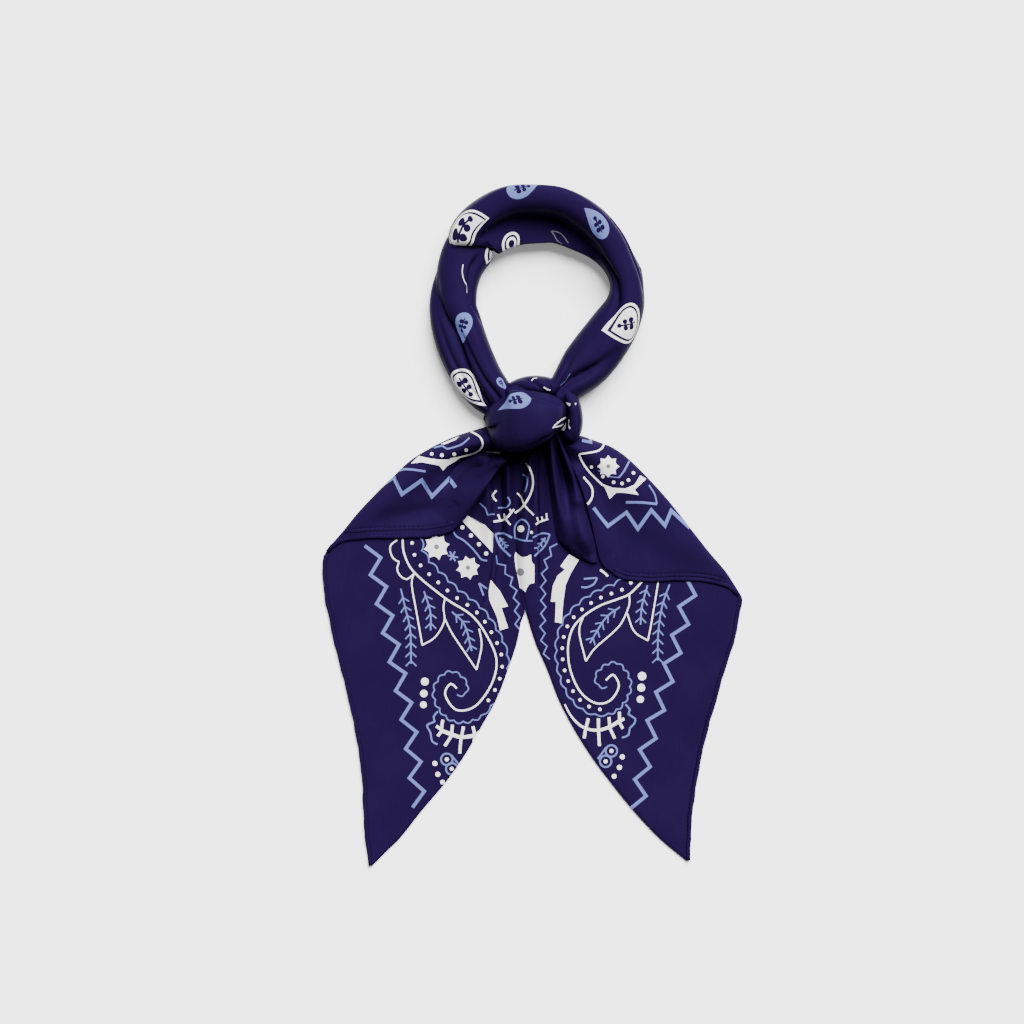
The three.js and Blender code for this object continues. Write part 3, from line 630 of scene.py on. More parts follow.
def smooth(low, high, value):
    """0 below low, 1 above high, and a soft step between them."""
    t = np.clip((value - low) / (high - low), 0, 1)
    return t * t * (3 - 2 * t)


def swapped(key, first, second):
    """Along and across as X and Y, or X and Y as along and across, for a table with this key column."""
    return (second, first) if key == "y" else (first, second)


def unit(rows):
    """Each row's direction."""
    return rows / np.maximum(np.linalg.norm(rows, axis=1, keepdims=True), 1e-9)


def left_of(run):
    """The directions a quarter turn to the left of a run's."""
    return np.stack([-run[:, 1], run[:, 0]], axis=1)


def at_distance(points, distance, at):
    """Points in X and Y at distances along a line."""
    return np.stack([np.interp(at, distance, points[:, k]) for k in (0, 1)], axis=1)


def staggered(number, count):
    """Steps across a row of points, moved by a quarter to one side or the other in turn."""
    return np.arange(1, count) + (0.25 if number % 2 else -0.25)


def rounded(distance, radius):
    """How much of its height a sheet keeps at a distance from an edge that turns over."""
    t = np.clip(1 - distance / radius, 0, 1)
    return np.sqrt(np.clip(1 - t * t, 0, 1))


def raised(folds, x, y):
    """The height that a set of folds adds at each point."""
    height = np.zeros_like(x)
    for fold in folds:
        crest = curve(fold, CREST_STEP)
        nearest = np.full_like(x, np.inf)
        lift = np.zeros_like(x)
        for (ax, ay, *from_here), (bx, by, *to_there) in zip(crest, crest[1:]):
            run_x = bx - ax
            run_y = by - ay
            t = np.clip(((x - ax) * run_x + (y - ay) * run_y) / (run_x**2 + run_y**2), 0, 1)
            to_x = x - mix(ax, bx, t)
            to_y = y - mix(ay, by, t)
            off = np.maximum(np.hypot(to_x, to_y), 1e-6)
            on_left = 0.5 + 0.5 * (run_x * to_y - run_y * to_x) / (off * math.hypot(run_x, run_y))
            left, right, rise = (mix(a, b, t) for a, b in zip(from_here, to_there))
            wide = mix(right, left, on_left)
            lift = np.where(off < nearest, rise * np.exp(-((off / wide) ** 2)), lift)
            nearest = np.minimum(nearest, off)
        height += lift
    return height


def beside_sharp_folds(folds):
    """Points close along each fold's sharp side, so that the mesh can turn there."""
    rows = []
    step = 1.3
    shares_of_reach = (0, 0.4, 0.8, 1.25, 1.8)
    for fold in folds:
        crest = curve(fold, CREST_STEP)
        for (ax, ay, *a_reach, _), (bx, by, *b_reach, _) in zip(crest, crest[1:]):
            length = math.hypot(bx - ax, by - ay)
            count = max(1, int(length / step))
            t = (np.arange(count) + 0.5) / count
            for side, from_reach, to_reach in zip((1, -1), a_reach, b_reach):
                if min(from_reach, to_reach) > SHARP:
                    continue
                for share in shares_of_reach:
                    off = side * share * mix(from_reach, to_reach, t)
                    x = mix(ax, bx, t) - off * (by - ay) / length
                    y = mix(ay, by, t) + off * (bx - ax) / length
                    rows.append(np.stack([x, y], axis=1))
    return np.concatenate(rows) if rows else np.zeros((0, 2))


def uneven(x, y, size, amount, turn):
    """A gentle unevenness of cloth that never lies quite flat: a few crossed waves."""
    total = np.zeros_like(x)
    for number in range(1, 5):
        angle = turn + 2.4 * number
        wave = (x * math.cos(angle) + y * math.sin(angle)) / (size * (0.6 + 0.23 * number))
        total += np.sin(wave + 1.7 * number) / number
    return amount * total


class Sheet:
    """Cloth that lies between two edges of a table, as an upper and a lower surface over X and Y."""

    facing = 1

    def __init__(self, rows, columns, start, end, insets, heights, folds):
        self.named = table(rows, columns)
        self.folds = folds
        self.key, *self.edges = columns
        self.start = start
        self.end = end
        self.insets = insets
        self.heights = heights

    def across(self, along):
        """The cloth's two edges at values of the key column."""
        low = read(self.named, self.key, self.edges[0], along) + self.insets[0](along)
        high = read(self.named, self.key, self.edges[1], along) - self.insets[1](along)
        least_width = 0.5
        return low, np.maximum(high, low + least_width)

    def plan(self, along, across):
        """Points in X and Y from the table's own directions."""
        return np.stack(swapped(self.key, along, across), axis=1)

    def outline(self, spacing):
        """The cloth's edge as seen from above, as one closed run of points."""
        count = max(8, int(abs(self.end - self.start) / spacing))
        along = np.linspace(self.start, self.end, count)
        low, high = self.across(along)
        ends = max(2, int(abs(high[-1] - low[-1]) / spacing))
        starts = max(2, int(abs(high[0] - low[0]) / spacing))
        far = np.linspace(low[-1], high[-1], ends + 1)[1:-1]
        near = np.linspace(high[0], low[0], starts + 1)[1:-1]
        rim_along = [along, np.full(len(far), along[-1]), along[::-1], np.full(len(near), along[0])]
        return self.plan(np.concatenate(rim_along), np.concatenate([low, far, high[::-1], near]))

    def inner_points(self, spacing):
        """Points over the cloth, closer together where an edge turns over."""
        near_edge = np.array([0.12, 0.4, 0.8, 1.35, 2.0, 2.8, 3.7])
        edge_share = 0.42
        rows = []
        count = max(4, int(abs(self.end - self.start) / (spacing * ROW_SHARE)))
        for number, along in enumerate(np.linspace(self.start, self.end, count + 1)[1:-1]):
            low, high = self.across(np.array([along]))
            width = high[0] - low[0]
            edge = near_edge[near_edge < width * edge_share]
            first = edge[-1] if len(edge) else 0
            middle = max(1, int((width - 2 * first) / spacing))
            steps = first + (width - 2 * first) * staggered(number, middle) / middle
            offsets = np.concatenate([edge, steps, width - edge])
            rows.append(self.plan(np.full(len(offsets), along), low[0] + offsets))
        extra = beside_sharp_folds(self.folds)
        at, over = swapped(self.key, extra[:, 0], extra[:, 1])
        low, high = self.across(at)
        inside = (over > low + 1) & (over < high - 1)
        inside &= (at > min(self.start, self.end) + 1) & (at < max(self.start, self.end) - 1)
        rows.append(extra[inside])
        return np.concatenate(rows)

    def surface(self, points, layer):
        """Where points of the flat cloth lie on its upper (0) or lower (1) surface."""
        x, y = points[:, 0], points[:, 1]
        along, across = swapped(self.key, x, y)
        low, high = self.across(along)
        z = self.heights(x, y, across - low, high - across)[layer]
        return np.stack([x, y, z], axis=1)

    def welded(self, flat):
        """The number of the point that each point is one with: here each is its own."""
        return np.arange(len(flat))


class Roll:
    """A stretch of rolled cloth: a tube along a table of sections, flat where it rests."""

    facing = -1
    around = 90.0
    seen_from_above = (0.22, 0.78)
    lip = 4.0
    wall = 0.45

    def __init__(self, rows, creases, closes, crown):
        self.named = table(rows, ROLL_COLUMNS)
        self.creases = [np.array(crease, dtype=float).T for crease in creases]
        self.closes = closes
        self.crown = crown
        self.last = len(rows) - 1.0
        self.index = np.linspace(0, self.last, 400)
        x = read(self.named, "row", "x", self.index)
        y = read(self.named, "row", "y", self.index)
        self.distance = distance_along(np.stack([x, y], axis=1))
        self.length = self.distance[-1]
        places = self.length * np.linspace(0.02, 0.98, 25)
        t = np.linspace(0, self.around, 121)
        self.girth = np.mean([self.distance_round(place, t)[-1] for place in places])

    def distance_round(self, place, t):
        """The cloth's length round the tube at a place along it, as far as each t."""
        return distance_along(self.skin(np.stack([np.full_like(t, place), t], axis=1)))

    def outline(self, spacing):
        """The unrolled tube's edge."""
        long_steps = max(4, int(self.length / spacing))
        round_steps = max(12, int(self.around / spacing))
        s = np.linspace(0, self.length, long_steps + 1)
        t = np.linspace(0, self.around, round_steps + 1)
        rim_s = [s[:-1], np.full(round_steps, self.length), s[:0:-1], np.zeros(round_steps)]
        rim_t = [np.zeros(long_steps), t[:-1], np.full(long_steps, self.around), t[:0:-1]]
        return np.stack([np.concatenate(rim_s), np.concatenate(rim_t)], axis=1)

    def inner_points(self, spacing):
        """Points over the unrolled tube, closer together at ends that close."""
        long_steps = max(4, int(self.length / (spacing * ROW_SHARE)))
        round_steps = max(12, int(self.around / spacing))
        s = np.linspace(0, self.length, long_steps + 1)[1:-1]
        near_end = np.array([0.15, 0.5, 1.0, 1.7])
        s = np.unique(np.concatenate([s, near_end, self.length - near_end]))
        rows = []
        for number, place in enumerate(s):
            t = self.around * staggered(number, round_steps) / round_steps
            rows.append(np.stack([np.full_like(t, place), t], axis=1))
        return np.concatenate(rows)

    def surface(self, points, layer):
        """Where points of the unrolled tube lie on its outer (0) or inner (1) surface."""
        outer = self.skin(points)
        return outer if layer == 0 else outer - self.wall * directions(self, points, 0)

    def skin(self, points):
        """The tube's outer surface."""
        s = np.clip(points[:, 0], 0, self.length)
        index = np.interp(s, self.distance, self.index)
        angle = 2 * math.pi * (points[:, 1] / self.around - 0.25)
        values = {c: read(self.named, "row", c, index) for c in ROLL_COLUMNS}
        run_x, run_y = self.run(index)
        near_end = mix(self.closes[0], 1, rounded(s, self.lip)) if self.closes[0] else 1.0
        far_end = mix(self.closes[1], 1, rounded(self.length - s, self.lip)) if self.closes[1] else 1.0
        half = values["half"] * near_end * far_end
        top = values["top"] * near_end * far_end
        sin, cos = np.sin(angle), np.cos(angle)
        groove = self.grooves(index, np.degrees(angle) % 360)
        wide = np.sign(cos) * np.abs(cos) ** SIDE_POWER
        side = (half - groove) * wide
        side += half * values["lean"] * LEAN_SHIFT * np.maximum(0, sin) * (1 - wide**2)
        power = self.crown * (1 + LEAN_POWER * np.maximum(0, values["lean"]) * (cos < 0))
        above = top * mix(WAIST, 1, np.abs(sin) ** power) - groove * sin
        below = np.maximum(0, top * WAIST * (1 - UNDER_SHARE * np.abs(sin) ** UNDER_POWER))
        z = np.where(sin >= 0, above, below)
        return np.stack([values["x"] - run_y * side, values["y"] + run_x * side, z], axis=1)

    def run(self, index):
        """The direction of the roll's line at places in its table."""
        step = 0.2
        before = np.clip(index - step, 0, self.last)
        after = np.clip(index + step, 0, self.last)
        run_x = read(self.named, "row", "x", after) - read(self.named, "row", "x", before)
        run_y = read(self.named, "row", "y", after) - read(self.named, "row", "y", before)
        length = np.hypot(run_x, run_y)
        return run_x / length, run_y / length

    def grooves(self, index, angle):
        """How deep the creases are at places along the roll and angles round it, in degrees."""
        depth = np.zeros_like(index)
        for rows, angles, before, after, deep in self.creases:
            off = (angle - np.interp(index, rows, angles) + 180) % 360 - 180
            reach = np.where(off < 0, np.interp(index, rows, before), np.interp(index, rows, after))
            depth += np.interp(index, rows, deep) * np.exp(-((off / reach) ** 2))
        return depth

    def welded(self, flat):
        """The number of the point that each point is one with: the tube's long edges meet under it."""
        own = np.arange(len(flat))
        first = {round(float(flat[i, 0]), 3): i for i in own[flat[:, 1] < CLOSEST]}
        for i in own[flat[:, 1] > self.around - CLOSEST]:
            own[i] = first[round(float(flat[i, 0]), 3)]
        return own

    def printed(self, x, y, outlines):
        """A design drawn round a point in X and Y, laid on the tube where that point shows from above."""
        t = self.around * np.linspace(*self.seen_from_above, 160)
        s, t = np.meshgrid(np.linspace(0, self.length, 240), t)
        grid = np.stack([s.ravel(), t.ravel()], axis=1)
        shown = self.skin(grid)
        middle = grid[np.argmin((shown[:, 0] - x) ** 2 + (shown[:, 1] - y) ** 2)]
        run_x, run_y = self.run(np.interp(middle[:1], self.distance, self.index))
        reach = 2.0
        ends = self.skin(middle + np.array([[-reach, 0], [reach, 0]]))
        stretch = 2 * reach / np.linalg.norm(ends[1] - ends[0])
        t = np.linspace(0, self.around, 181)
        round_it = self.distance_round(middle[0], t)
        there = np.interp(middle[1], t, round_it)
        laid = []
        for ring, ink in outlines:
            along = (ring[:, 0] * run_x + ring[:, 1] * run_y) * stretch
            over = ring[:, 0] * run_y - ring[:, 1] * run_x
            laid.append((np.stack([middle[0] + along, np.interp(there + over, round_it, t)], axis=1), ink))
        return laid


def distance_along(points):
    """The distance along a line at each of its points."""
    steps = np.linalg.norm(np.diff(points, axis=0), axis=1)
    return np.concatenate([[0], np.cumsum(steps)])


def directions(form, points, layer):
    """The way that a form's outer (0) or inner (1) surface faces at points of the flat cloth."""
    step = 0.25
    along = form.surface(points + [step, 0], 0) - form.surface(points - [step, 0], 0)
    over = form.surface(points + [0, step], 0) - form.surface(points - [0, step], 0)
    out = unit(np.cross(along, over) * form.facing)
    return out if layer == 0 else -out


def enclosed(ring):
    """The area inside a closed outline, below zero where it runs clockwise."""
    x, y = ring[:, 0], ring[:, 1]
    return 0.5 * float(np.sum(x * np.roll(y, -1) - np.roll(x, -1) * y))


def mesh_cloth(form, outlines, spacing):
    """A piece's faces on the flat cloth, cut along the print's outlines: points, faces and inks."""
    points = []
    faces = []
    inks = []
    for ring, ink in [(form.outline(spacing), CLOTH), *outlines]:
        area = enclosed(ring)
        if abs(area) < LEAST_AREA:
            continue
        first = len(points)
        points.extend(tuple(p) for p in (ring if area > 0 else ring[::-1]))
        faces.append(list(range(first, len(points))))
        inks.append(ink)
    points.extend(tuple(p) for p in form.inner_points(spacing))
    made = delaunay_2d_cdt(points, [], faces, 1, CLOSEST)
    flat = np.array([(v.x, v.y) for v in made[0]])
    kept = [(corners, inks[max(origins)]) for corners, origins in zip(made[2], made[5]) if 0 in origins]
    faces = np.array([corners for corners, _ in kept])
    a, b, c = (flat[faces[:, k]] for k in range(3))
    turn = (b[:, 0] - a[:, 0]) * (c[:, 1] - a[:, 1]) - (b[:, 1] - a[:, 1]) * (c[:, 0] - a[:, 0])
    flipped = turn * form.facing < 0
    faces[flipped] = faces[flipped][:, ::-1]
    return flat, faces, np.array([ink for _, ink in kept])


def shell(name, form, outlines, spacing, two_faced=True):
    """A closed thin shell of cloth on a form, printed on its upper surface, and on both if two_faced."""
    flat, faces, inks = mesh_cloth(form, outlines, spacing)
    count = len(flat)
    upper = form.welded(flat)[faces]
    edges = {tuple(edge) for edge in upper[:, [0, 1, 1, 2, 2, 0]].reshape(-1, 2).tolist()}
    rim = [(i, k) for i, k in sorted(edges) if (k, i) not in edges]
    sides = [(k, i, i + count) for i, k in rim] + [(k, i + count, k + count) for i, k in rim]
    corners = np.concatenate([upper, upper[:, ::-1] + count, np.array(sides, dtype=int)])
    places = np.concatenate([faces, faces[:, ::-1], np.array(sides, dtype=int) % count])
    used, numbers = np.unique(corners, return_inverse=True)
    points = np.concatenate([form.surface(flat, 0), form.surface(flat, 1)]) * MM
    facing = np.concatenate([directions(form, flat, 0), directions(form, flat, 1)])
    mesh = bpy.data.meshes.new(name)
    mesh.from_pydata(points[used].tolist(), [], numbers.reshape(corners.shape).tolist())
    under = inks if two_faced else np.zeros_like(inks)
    paint(mesh, np.concatenate([inks, under, np.zeros(len(sides), dtype=int)]))
    lay_out(mesh, flat[places.ravel()])
    mesh.shade_smooth()
    mesh.normals_split_custom_set_from_vertices(facing[used].tolist())
    return add(name, mesh)


def paint(mesh, face_inks):
    """Writes each face's ink as a colour attribute: red is white ink, green is light ink, blue is grey ink,
    which also paints shade.
    """
    masks = np.array([(0, 0, 0, 1), (1, 0, 0, 1), (0, 1, 0, 1), (0, 0, 1, 1)], dtype=np.float32)
    attribute = mesh.color_attributes.new("ink", "FLOAT_COLOR", "CORNER")
    attribute.data.foreach_set("color", masks[np.repeat(face_inks, 3)].reshape(-1))


def lay_out(mesh, places):
    """The cloth's flat coordinates as the UV map, one unit for each 100 mm, which the weave follows."""
    layer = mesh.uv_layers.new(name="cloth")
    layer.data.foreach_set("uv", (places / 100.0).astype(np.float32).reshape(-1))


def rope(path, across, up, sides=8):
    """A closed tube along a path: its points and its faces, all with three corners."""
    path = np.asarray(path, dtype=float)
    run = np.gradient(path, axis=0)
    level = unit(np.column_stack([left_of(run), np.zeros(len(path))]))
    angles = 2 * math.pi * np.arange(sides) / sides
    across = np.broadcast_to(across, len(path))[:, None, None]
    up = np.broadcast_to(up, len(path))[:, None, None]
    out = level[:, None] * np.cos(angles)[None, :, None] * across
    out = out + np.array([0, 0, 1.0]) * np.sin(angles)[None, :, None] * up
    points = np.concatenate([(path[:, None] + out).reshape(-1, 3), path[[0, -1]]])
    faces = []
    for i in range(len(path) - 1):
        for k in range(sides):
            a, b = i * sides + k, i * sides + (k + 1) % sides
            faces += [(a, b, b + sides), (a, b + sides, a + sides)]
    last = (len(path) - 1) * sides
    for k in range(sides):
        faces.append((len(points) - 2, (k + 1) % sides, k))
        faces.append((len(points) - 1, last + k, last + (k + 1) % sides))
    return points, np.array(faces)[:, ::-1]


def join(name, parts):
    """One object from several closed meshes of points and faces, in millimetres."""
    firsts = np.cumsum([0] + [len(points) for points, _ in parts[:-1]])
    points = np.concatenate([points for points, _ in parts])
    faces = np.concatenate([faces + first for (_, faces), first in zip(parts, firsts)])
    mesh = bpy.data.meshes.new(name)
    mesh.from_pydata((points * MM).tolist(), [], faces.tolist())
    lay_out(mesh, points[faces.ravel(), :2])
    mesh.shade_smooth()
    return add(name, mesh)


def add(name, mesh):
    """A new object in the scene for a mesh."""
    thing = bpy.data.objects.new(name, mesh)
    bpy.context.scene.collection.objects.link(thing)
    return thing


def dress(thing, material, node):
    """Gives a piece its material and its body, and hides the model's part for the node that it stands for."""
    thing.data.materials.append(material)
    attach(thing, ROOT)
    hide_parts(node)


def no_inset(along):
    """An edge that lies on the outline."""
    return np.zeros_like(along)


def flap_inset(along):
    """A flap's low edge, which ends in its hem."""
    return np.full_like(along, FLAP_INSET)


def tail_inset(low, high):
    """A tail's outer edge, which ends in its hem, and from low to high along Y moves in under the flap."""
    return lambda y: mix(TAIL_INSET, UNDER_FOLD, smooth(low, high, y))


def lapped(y):
    """The left tail's inner edge, which reaches on under the right tail where that laps over it."""
    return -2.5 * smooth(*LAP, y)


def tail_heights(folds, diagonal, size, turn, lift=None):
    """Heights of a tail's doubled cloth, rounded along its diagonal fold; lift raises its underside."""

    def heights(x, y, from_low, from_high):
        inward = from_high if diagonal == "high" else from_low
        waver = uneven(x, y, size, WAVER["tail"], turn) * smooth(0, 12, inward)
        top = TWO_PLIES + raised(folds, x, y) + waver
        bottom = 0.7 * (1 - rounded(inward, 1.4))
        if lift:
            bottom = np.maximum(bottom, lift(y, from_low))
        top = np.maximum(LEAST_HEIGHT["tail"], top) * rounded(inward + 0.15, TAIL_FOLD_RADIUS)
        return np.maximum(bottom + THINNEST["tail"], top), bottom

    return heights


def over_the_other(y, from_low):
    """How far the right tail's edge lies above the surface where it laps over the left tail."""
    return 1.75 * (1 - smooth(2.5, 5.5, from_low)) * smooth(*LAP, y)


def flap_heights(folds, size, turn, hem):
    """Heights of a flap: two plies that turn over at the high edge, with their hems a little apart."""
    hem_start, hem_end, apart = hem
    way = math.copysign(1, hem_end - hem_start)

    def heights(x, y, from_low, from_high):
        soft = 0.7
        beyond_upper_ply = 1 - smooth(apart - soft, apart + soft, from_low)
        step_down = 0.4 * beyond_upper_ply * smooth(0, 7, (x - hem_start) * way)
        waver = uneven(x, y, size, WAVER["flap"], turn) * smooth(0, 8, from_high)
        top = FLAP_REST + FLAP_WALL + raised(folds, x, y) + waver
        top = np.maximum(LEAST_HEIGHT["flap"], (top - step_down) * rounded(from_high + 0.25, FOLD_RADIUS))
        under = np.maximum(FLAP_REST - 0.35, top - FLAP_WALL)
        bottom = under * smooth(0, FOLD_RADIUS * 0.7, from_high)
        return top, np.minimum(bottom, top - THINNEST["flap"])

    return heights


def tongue_heights(x, y, from_low, from_high):
    """Heights of the tongue, a fold that rolls under on both sides."""
    edge = rounded(np.minimum(from_low, from_high) + 0.1, FOLD_RADIUS)
    top = FLAP_REST + 0.5 + (2.8 + raised(TONGUE_FOLDS, x, y)) * edge
    return top, np.full_like(x, FLAP_REST - 0.3)


def hem_line(rows, columns, edge, inward, start, end, offset):
    """Points along a table's edge, moved in by an offset and the rolled hem's own slight waver."""
    step = 2.5
    along = np.linspace(start, end, max(12, int(abs(end - start) / step)))
    across = read(table(rows, columns), columns[0], edge, along)
    across = across + inward * (offset + 0.14 * np.sin(along / 3.1) + 0.08 * np.sin(along / 1.3 + 1))
    return np.stack(swapped(columns[0], along, across), axis=1)


def hem_parts(line, height, across, up, inner):
    """One ply's rolled hem along a line, with slanted stitches on its inner side.

    Each stitch starts on the roll, a little back, and comes down just beyond it, a little ahead.
    """
    z = np.broadcast_to(height, len(line))
    beat = distance_along(line)
    parts = [rope(np.column_stack([line, z]), across * (1 + 0.07 * np.sin(beat / 2.1)), up)]
    margin = 3
    places = np.arange(margin, beat[-1] - margin, STITCH_PITCH)
    ahead = at_distance(np.gradient(line, beat, axis=0), beat, places)
    rise = up * 0.86
    rows = zip(at_distance(line, beat, places), np.interp(places, beat, z), ahead, inner * left_of(ahead))
    for place, low, forward, side in rows:
        start = place + side * across * 0.45 - forward * 0.5
        stop = place + side * (across + 0.35) + forward * 0.6
        heights = (low + rise, low + rise * 0.8, low + rise * 0.1)
        stitch = np.column_stack([[start, mix(start, stop, 0.5), stop], heights])
        parts.append(rope(stitch, *THREAD, 4))
    return parts


def curve(points, step=1.6):
    """A smooth line through a few points."""
    points = np.array(points, dtype=float)
    before = 2 * points[0] - points[1]
    after = 2 * points[-1] - points[-2]
    padded = np.concatenate([[before], points, [after]])
    line = [points[0]]
    for a, b, c, d in zip(padded, padded[1:], padded[2:], padded[3:]):
        pieces = max(1, int(math.dist(b, c) / step))
        for t in np.arange(1, pieces + 1) / pieces:
            bend = (2 * a - 5 * b + 4 * c - d) * t**2 + (3 * b - 3 * c + d - a) * t**3
            line.append(b + 0.5 * ((c - a) * t + bend))
    return np.array(line)


def beside(points, offset):
    """A line moved to its left by an offset, with its corners mitred."""
    left = left_of(unit(np.diff(points, axis=0)))
    after = np.concatenate([left, left[-1:]])
    middle = unit(np.concatenate([left[:1], left]) + after)
    least_cosine = 0.45
    reach = offset / np.maximum(least_cosine, (middle * after).sum(axis=1))
    return points + middle * reach[:, None]


def paced(points, pitch, first=0.0):
    """Places at equal distances along a line, and the direction to its left at each."""
    distance = distance_along(points)
    at = np.arange(first, distance[-1] + 1e-6, pitch)
    step = 0.6
    run = at_distance(points, distance, at + step) - at_distance(points, distance, at - step)
    return at_distance(points, distance, at), left_of(unit(run))


def circle(x, y, radius, corners=14):
    """A round outline."""
    angle = 2 * math.pi * np.arange(corners) / corners
    return np.stack([x + radius * np.cos(angle), y + radius * np.sin(angle)], axis=1)


def turned(x, y, degrees):
    """Points in X and Y, turned about the middle."""
    c, s = math.cos(math.radians(degrees)), math.sin(math.radians(degrees))
    return np.stack([x * c - y * s, x * s + y * c], axis=-1)


def drop(length, width, bend, turn):
    """A drop's outline round its middle: its tip points along turn, in degrees, and leans by bend."""
    corners = 36
    fullness, taper = 0.66, 1.1
    angle = 2 * math.pi * np.arange(corners) / corners
    along = 0.5 * length * np.cos(angle)
    across = fullness * width * np.sin(angle) * np.sin(angle / 2) ** taper
    across += bend * (np.maximum(0, along + 0.1 * length) / (0.6 * length)) ** 2
    return turned(along, across, turn)


class Print:
    """A printed design on flat cloth: outlines with their inks, later ones over earlier ones."""

    def __init__(self):
        self.outlines = []

    def fill(self, ring, ink):
        """A filled outline."""
        self.outlines.append((np.asarray(ring, dtype=float), ink))

    def line(self, points, width, ink):
        """A line of a width, or of one width at each point."""
        points = np.asarray(points, dtype=float)
        half = np.broadcast_to(width, len(points)) / 2
        left, right = beside(points, half), beside(points, -half)
        for k in range(len(points) - 1):
            self.fill([left[k], left[k + 1], right[k + 1]], ink)
            self.fill([left[k], right[k + 1], right[k]], ink)

    def ring(self, points, width, ink):
        """A line round a closed outline."""
        self.line(np.concatenate([points, points[:2]]), width, ink)

    def dots(self, rows, ink):
        """Round dots from rows of X, Y and radius."""
        for x, y, radius in rows:
            self.fill(circle(x, y, radius), ink)

    def dots_along(self, points, pitch, radius, ink, first):
        """Round dots at equal distances along a line."""
        places, _ = paced(points, pitch, first)
        self.dots([(x, y, radius) for x, y in places], ink)

    def zigzag(self, axis, pitch, reach, width, ink, side=1):
        """A zigzag about an axis; pitch is from one corner to the next."""
        places, left = paced(curve(axis), pitch)
        sides = side * (1 - 2 * (np.arange(len(places)) % 2))
        self.line(places + left * (reach * sides)[:, None], width, ink)

    def scallops(self, base, pitch, bulge, width, ink):
        """A line of small arcs that bulge to the left of its base, from its start to its end."""
        length = distance_along(base)[-1]
        just_short = 0.9999
        places, _ = paced(base, just_short * length / max(1, round(length / pitch)))
        line = [places[0]]
        for start, stop in zip(places, places[1:]):
            run = stop - start
            left = np.array([-run[1], run[0]]) / max(np.linalg.norm(run), 1e-9)
            for t in (0.17, 0.34, 0.5, 0.66, 0.83, 1.0):
                line.append(start + run * t + left * bulge * math.sin(math.pi * t))
        self.line(line, width, ink)

    def flower(self, x, y, radius, turn=0.0):
        """A flower of pointed petals, with a grey middle."""
        petals = 8
        corners = petals * 6
        notch, petal, roundness = 0.75, 0.27, 0.8
        angle = 2 * math.pi * np.arange(corners) / corners
        tip = 1 - np.abs(np.sin(0.5 * petals * angle)) ** roundness
        reach = radius * (notch + petal * tip)
        ring = [x + reach * np.cos(angle + turn), y + reach * np.sin(angle + turn)]
        self.fill(np.stack(ring, axis=1), WHITE)
        self.dots([(x, y, 0.2 * radius)], GREY_AND_SHADED)

    def fern(self, axis, pairs, twig, width, ink):
        """A stem with pairs of twigs that point along it."""
        outward, forward = 0.72, 0.7
        stem = curve(axis)
        self.line(stem, width, ink)
        length = distance_along(stem)[-1]
        places, left = paced(stem, length / (pairs + 0.3), length * 0.12)
        for place, out, ahead in zip(places, left, -left_of(left)):
            for side in (1, -1):
                tip = place + side * out * twig * outward + ahead * twig * forward
                self.line([place, tip], width * 0.85, ink)

    def trim(self, low_left, high_left, right):
        """Cuts the last flower to the pleat that it lies on, whose left edge leans from high to low."""
        high, low = -18, -38
        for number in (-2, -1):
            ring, ink = self.outlines[number]
            left = mix(high_left, low_left, smooth(high, low, ring[:, 1]))
            self.outlines[number] = (np.stack([np.clip(ring[:, 0], left, right), ring[:, 1]], axis=1), ink)

    def strokes(self, rows, width, ink):
        """Short straight strokes, from rows of two ends."""
        for x, y, to_x, to_y in rows:
            self.line([(x, y), (to_x, to_y)], width, ink)

    def curves(self, rows):
        """Smooth lines, from rows of points, a width and an ink."""
        for points, width, ink in rows:
            self.line(curve(points), width, ink)


def corner_design(name):
    """The corner of the square's design, as it lies on one tail."""
    corner = CORNERS[name]
    side = corner["side"]
    design = Print()
    stem = curve(corner["stem"])
    share = distance_along(stem) / distance_along(stem)[-1]
    narrow_band = 6.3
    dots_share = 0.53
    reach = side * mix(corner["band"], narrow_band, smooth(0.12, 0.42, share))
    wave = np.concatenate([beside(stem, reach), curve(corner["curl"])])
    curl_starts = int(0.8 * len(stem))
    for part, pitch in ((wave[: curl_starts + 1], 7.8), (wave[curl_starts:], 5.4)):
        design.scallops(part if side > 0 else part[::-1], pitch, bulge=1.6, width=0.85, ink=LIGHT)
    dotted = beside(stem, reach * dots_share)[:curl_starts]
    design.dots_along(dotted, corner["dot_pitch"], radius=1.0, ink=WHITE, first=corner["first_dot"])
    for leaf in corner["leaves"]:
        design.line(curve(leaf), 0.85, WHITE)
    design.line(stem, 1.05, WHITE)
    for axis, pairs, twig in corner["ferns"]:
        design.fern(axis, pairs, twig, width=1.0, ink=LIGHT)
    design.dots(corner["dots"], WHITE)
    design.zigzag(corner["zigzag"], pitch=8.7, reach=3.95, width=2.0, ink=LIGHT, side=-1)
    spine = curve(corner["spine"])
    design.line(spine, np.linspace(corner["spine_wide"], 2.2, len(spine)), WHITE)
    design.strokes(corner["ribs"], 1.7, WHITE)
    design.line(curve(corner["frill"]), 1.1, LIGHT)
    for x, y in corner["lobes"]:
        design.ring(circle(x, y, 3.4, 18), 1.1, LIGHT)
        design.dots([(x, y, 1.2)], WHITE)
    design.line(corner["lobe_tail"], 1.1, LIGHT)
    for bar in corner["bars"]:
        design.fill(bar, WHITE)
    design.zigzag(corner["inner_zigzag"], pitch=3.9, reach=1.5, width=0.85, ink=LIGHT)
    design.curves(corner["lines"])
    for x, y, radius in corner["flowers"]:
        design.flower(x, y, radius, 0.2)
    return design


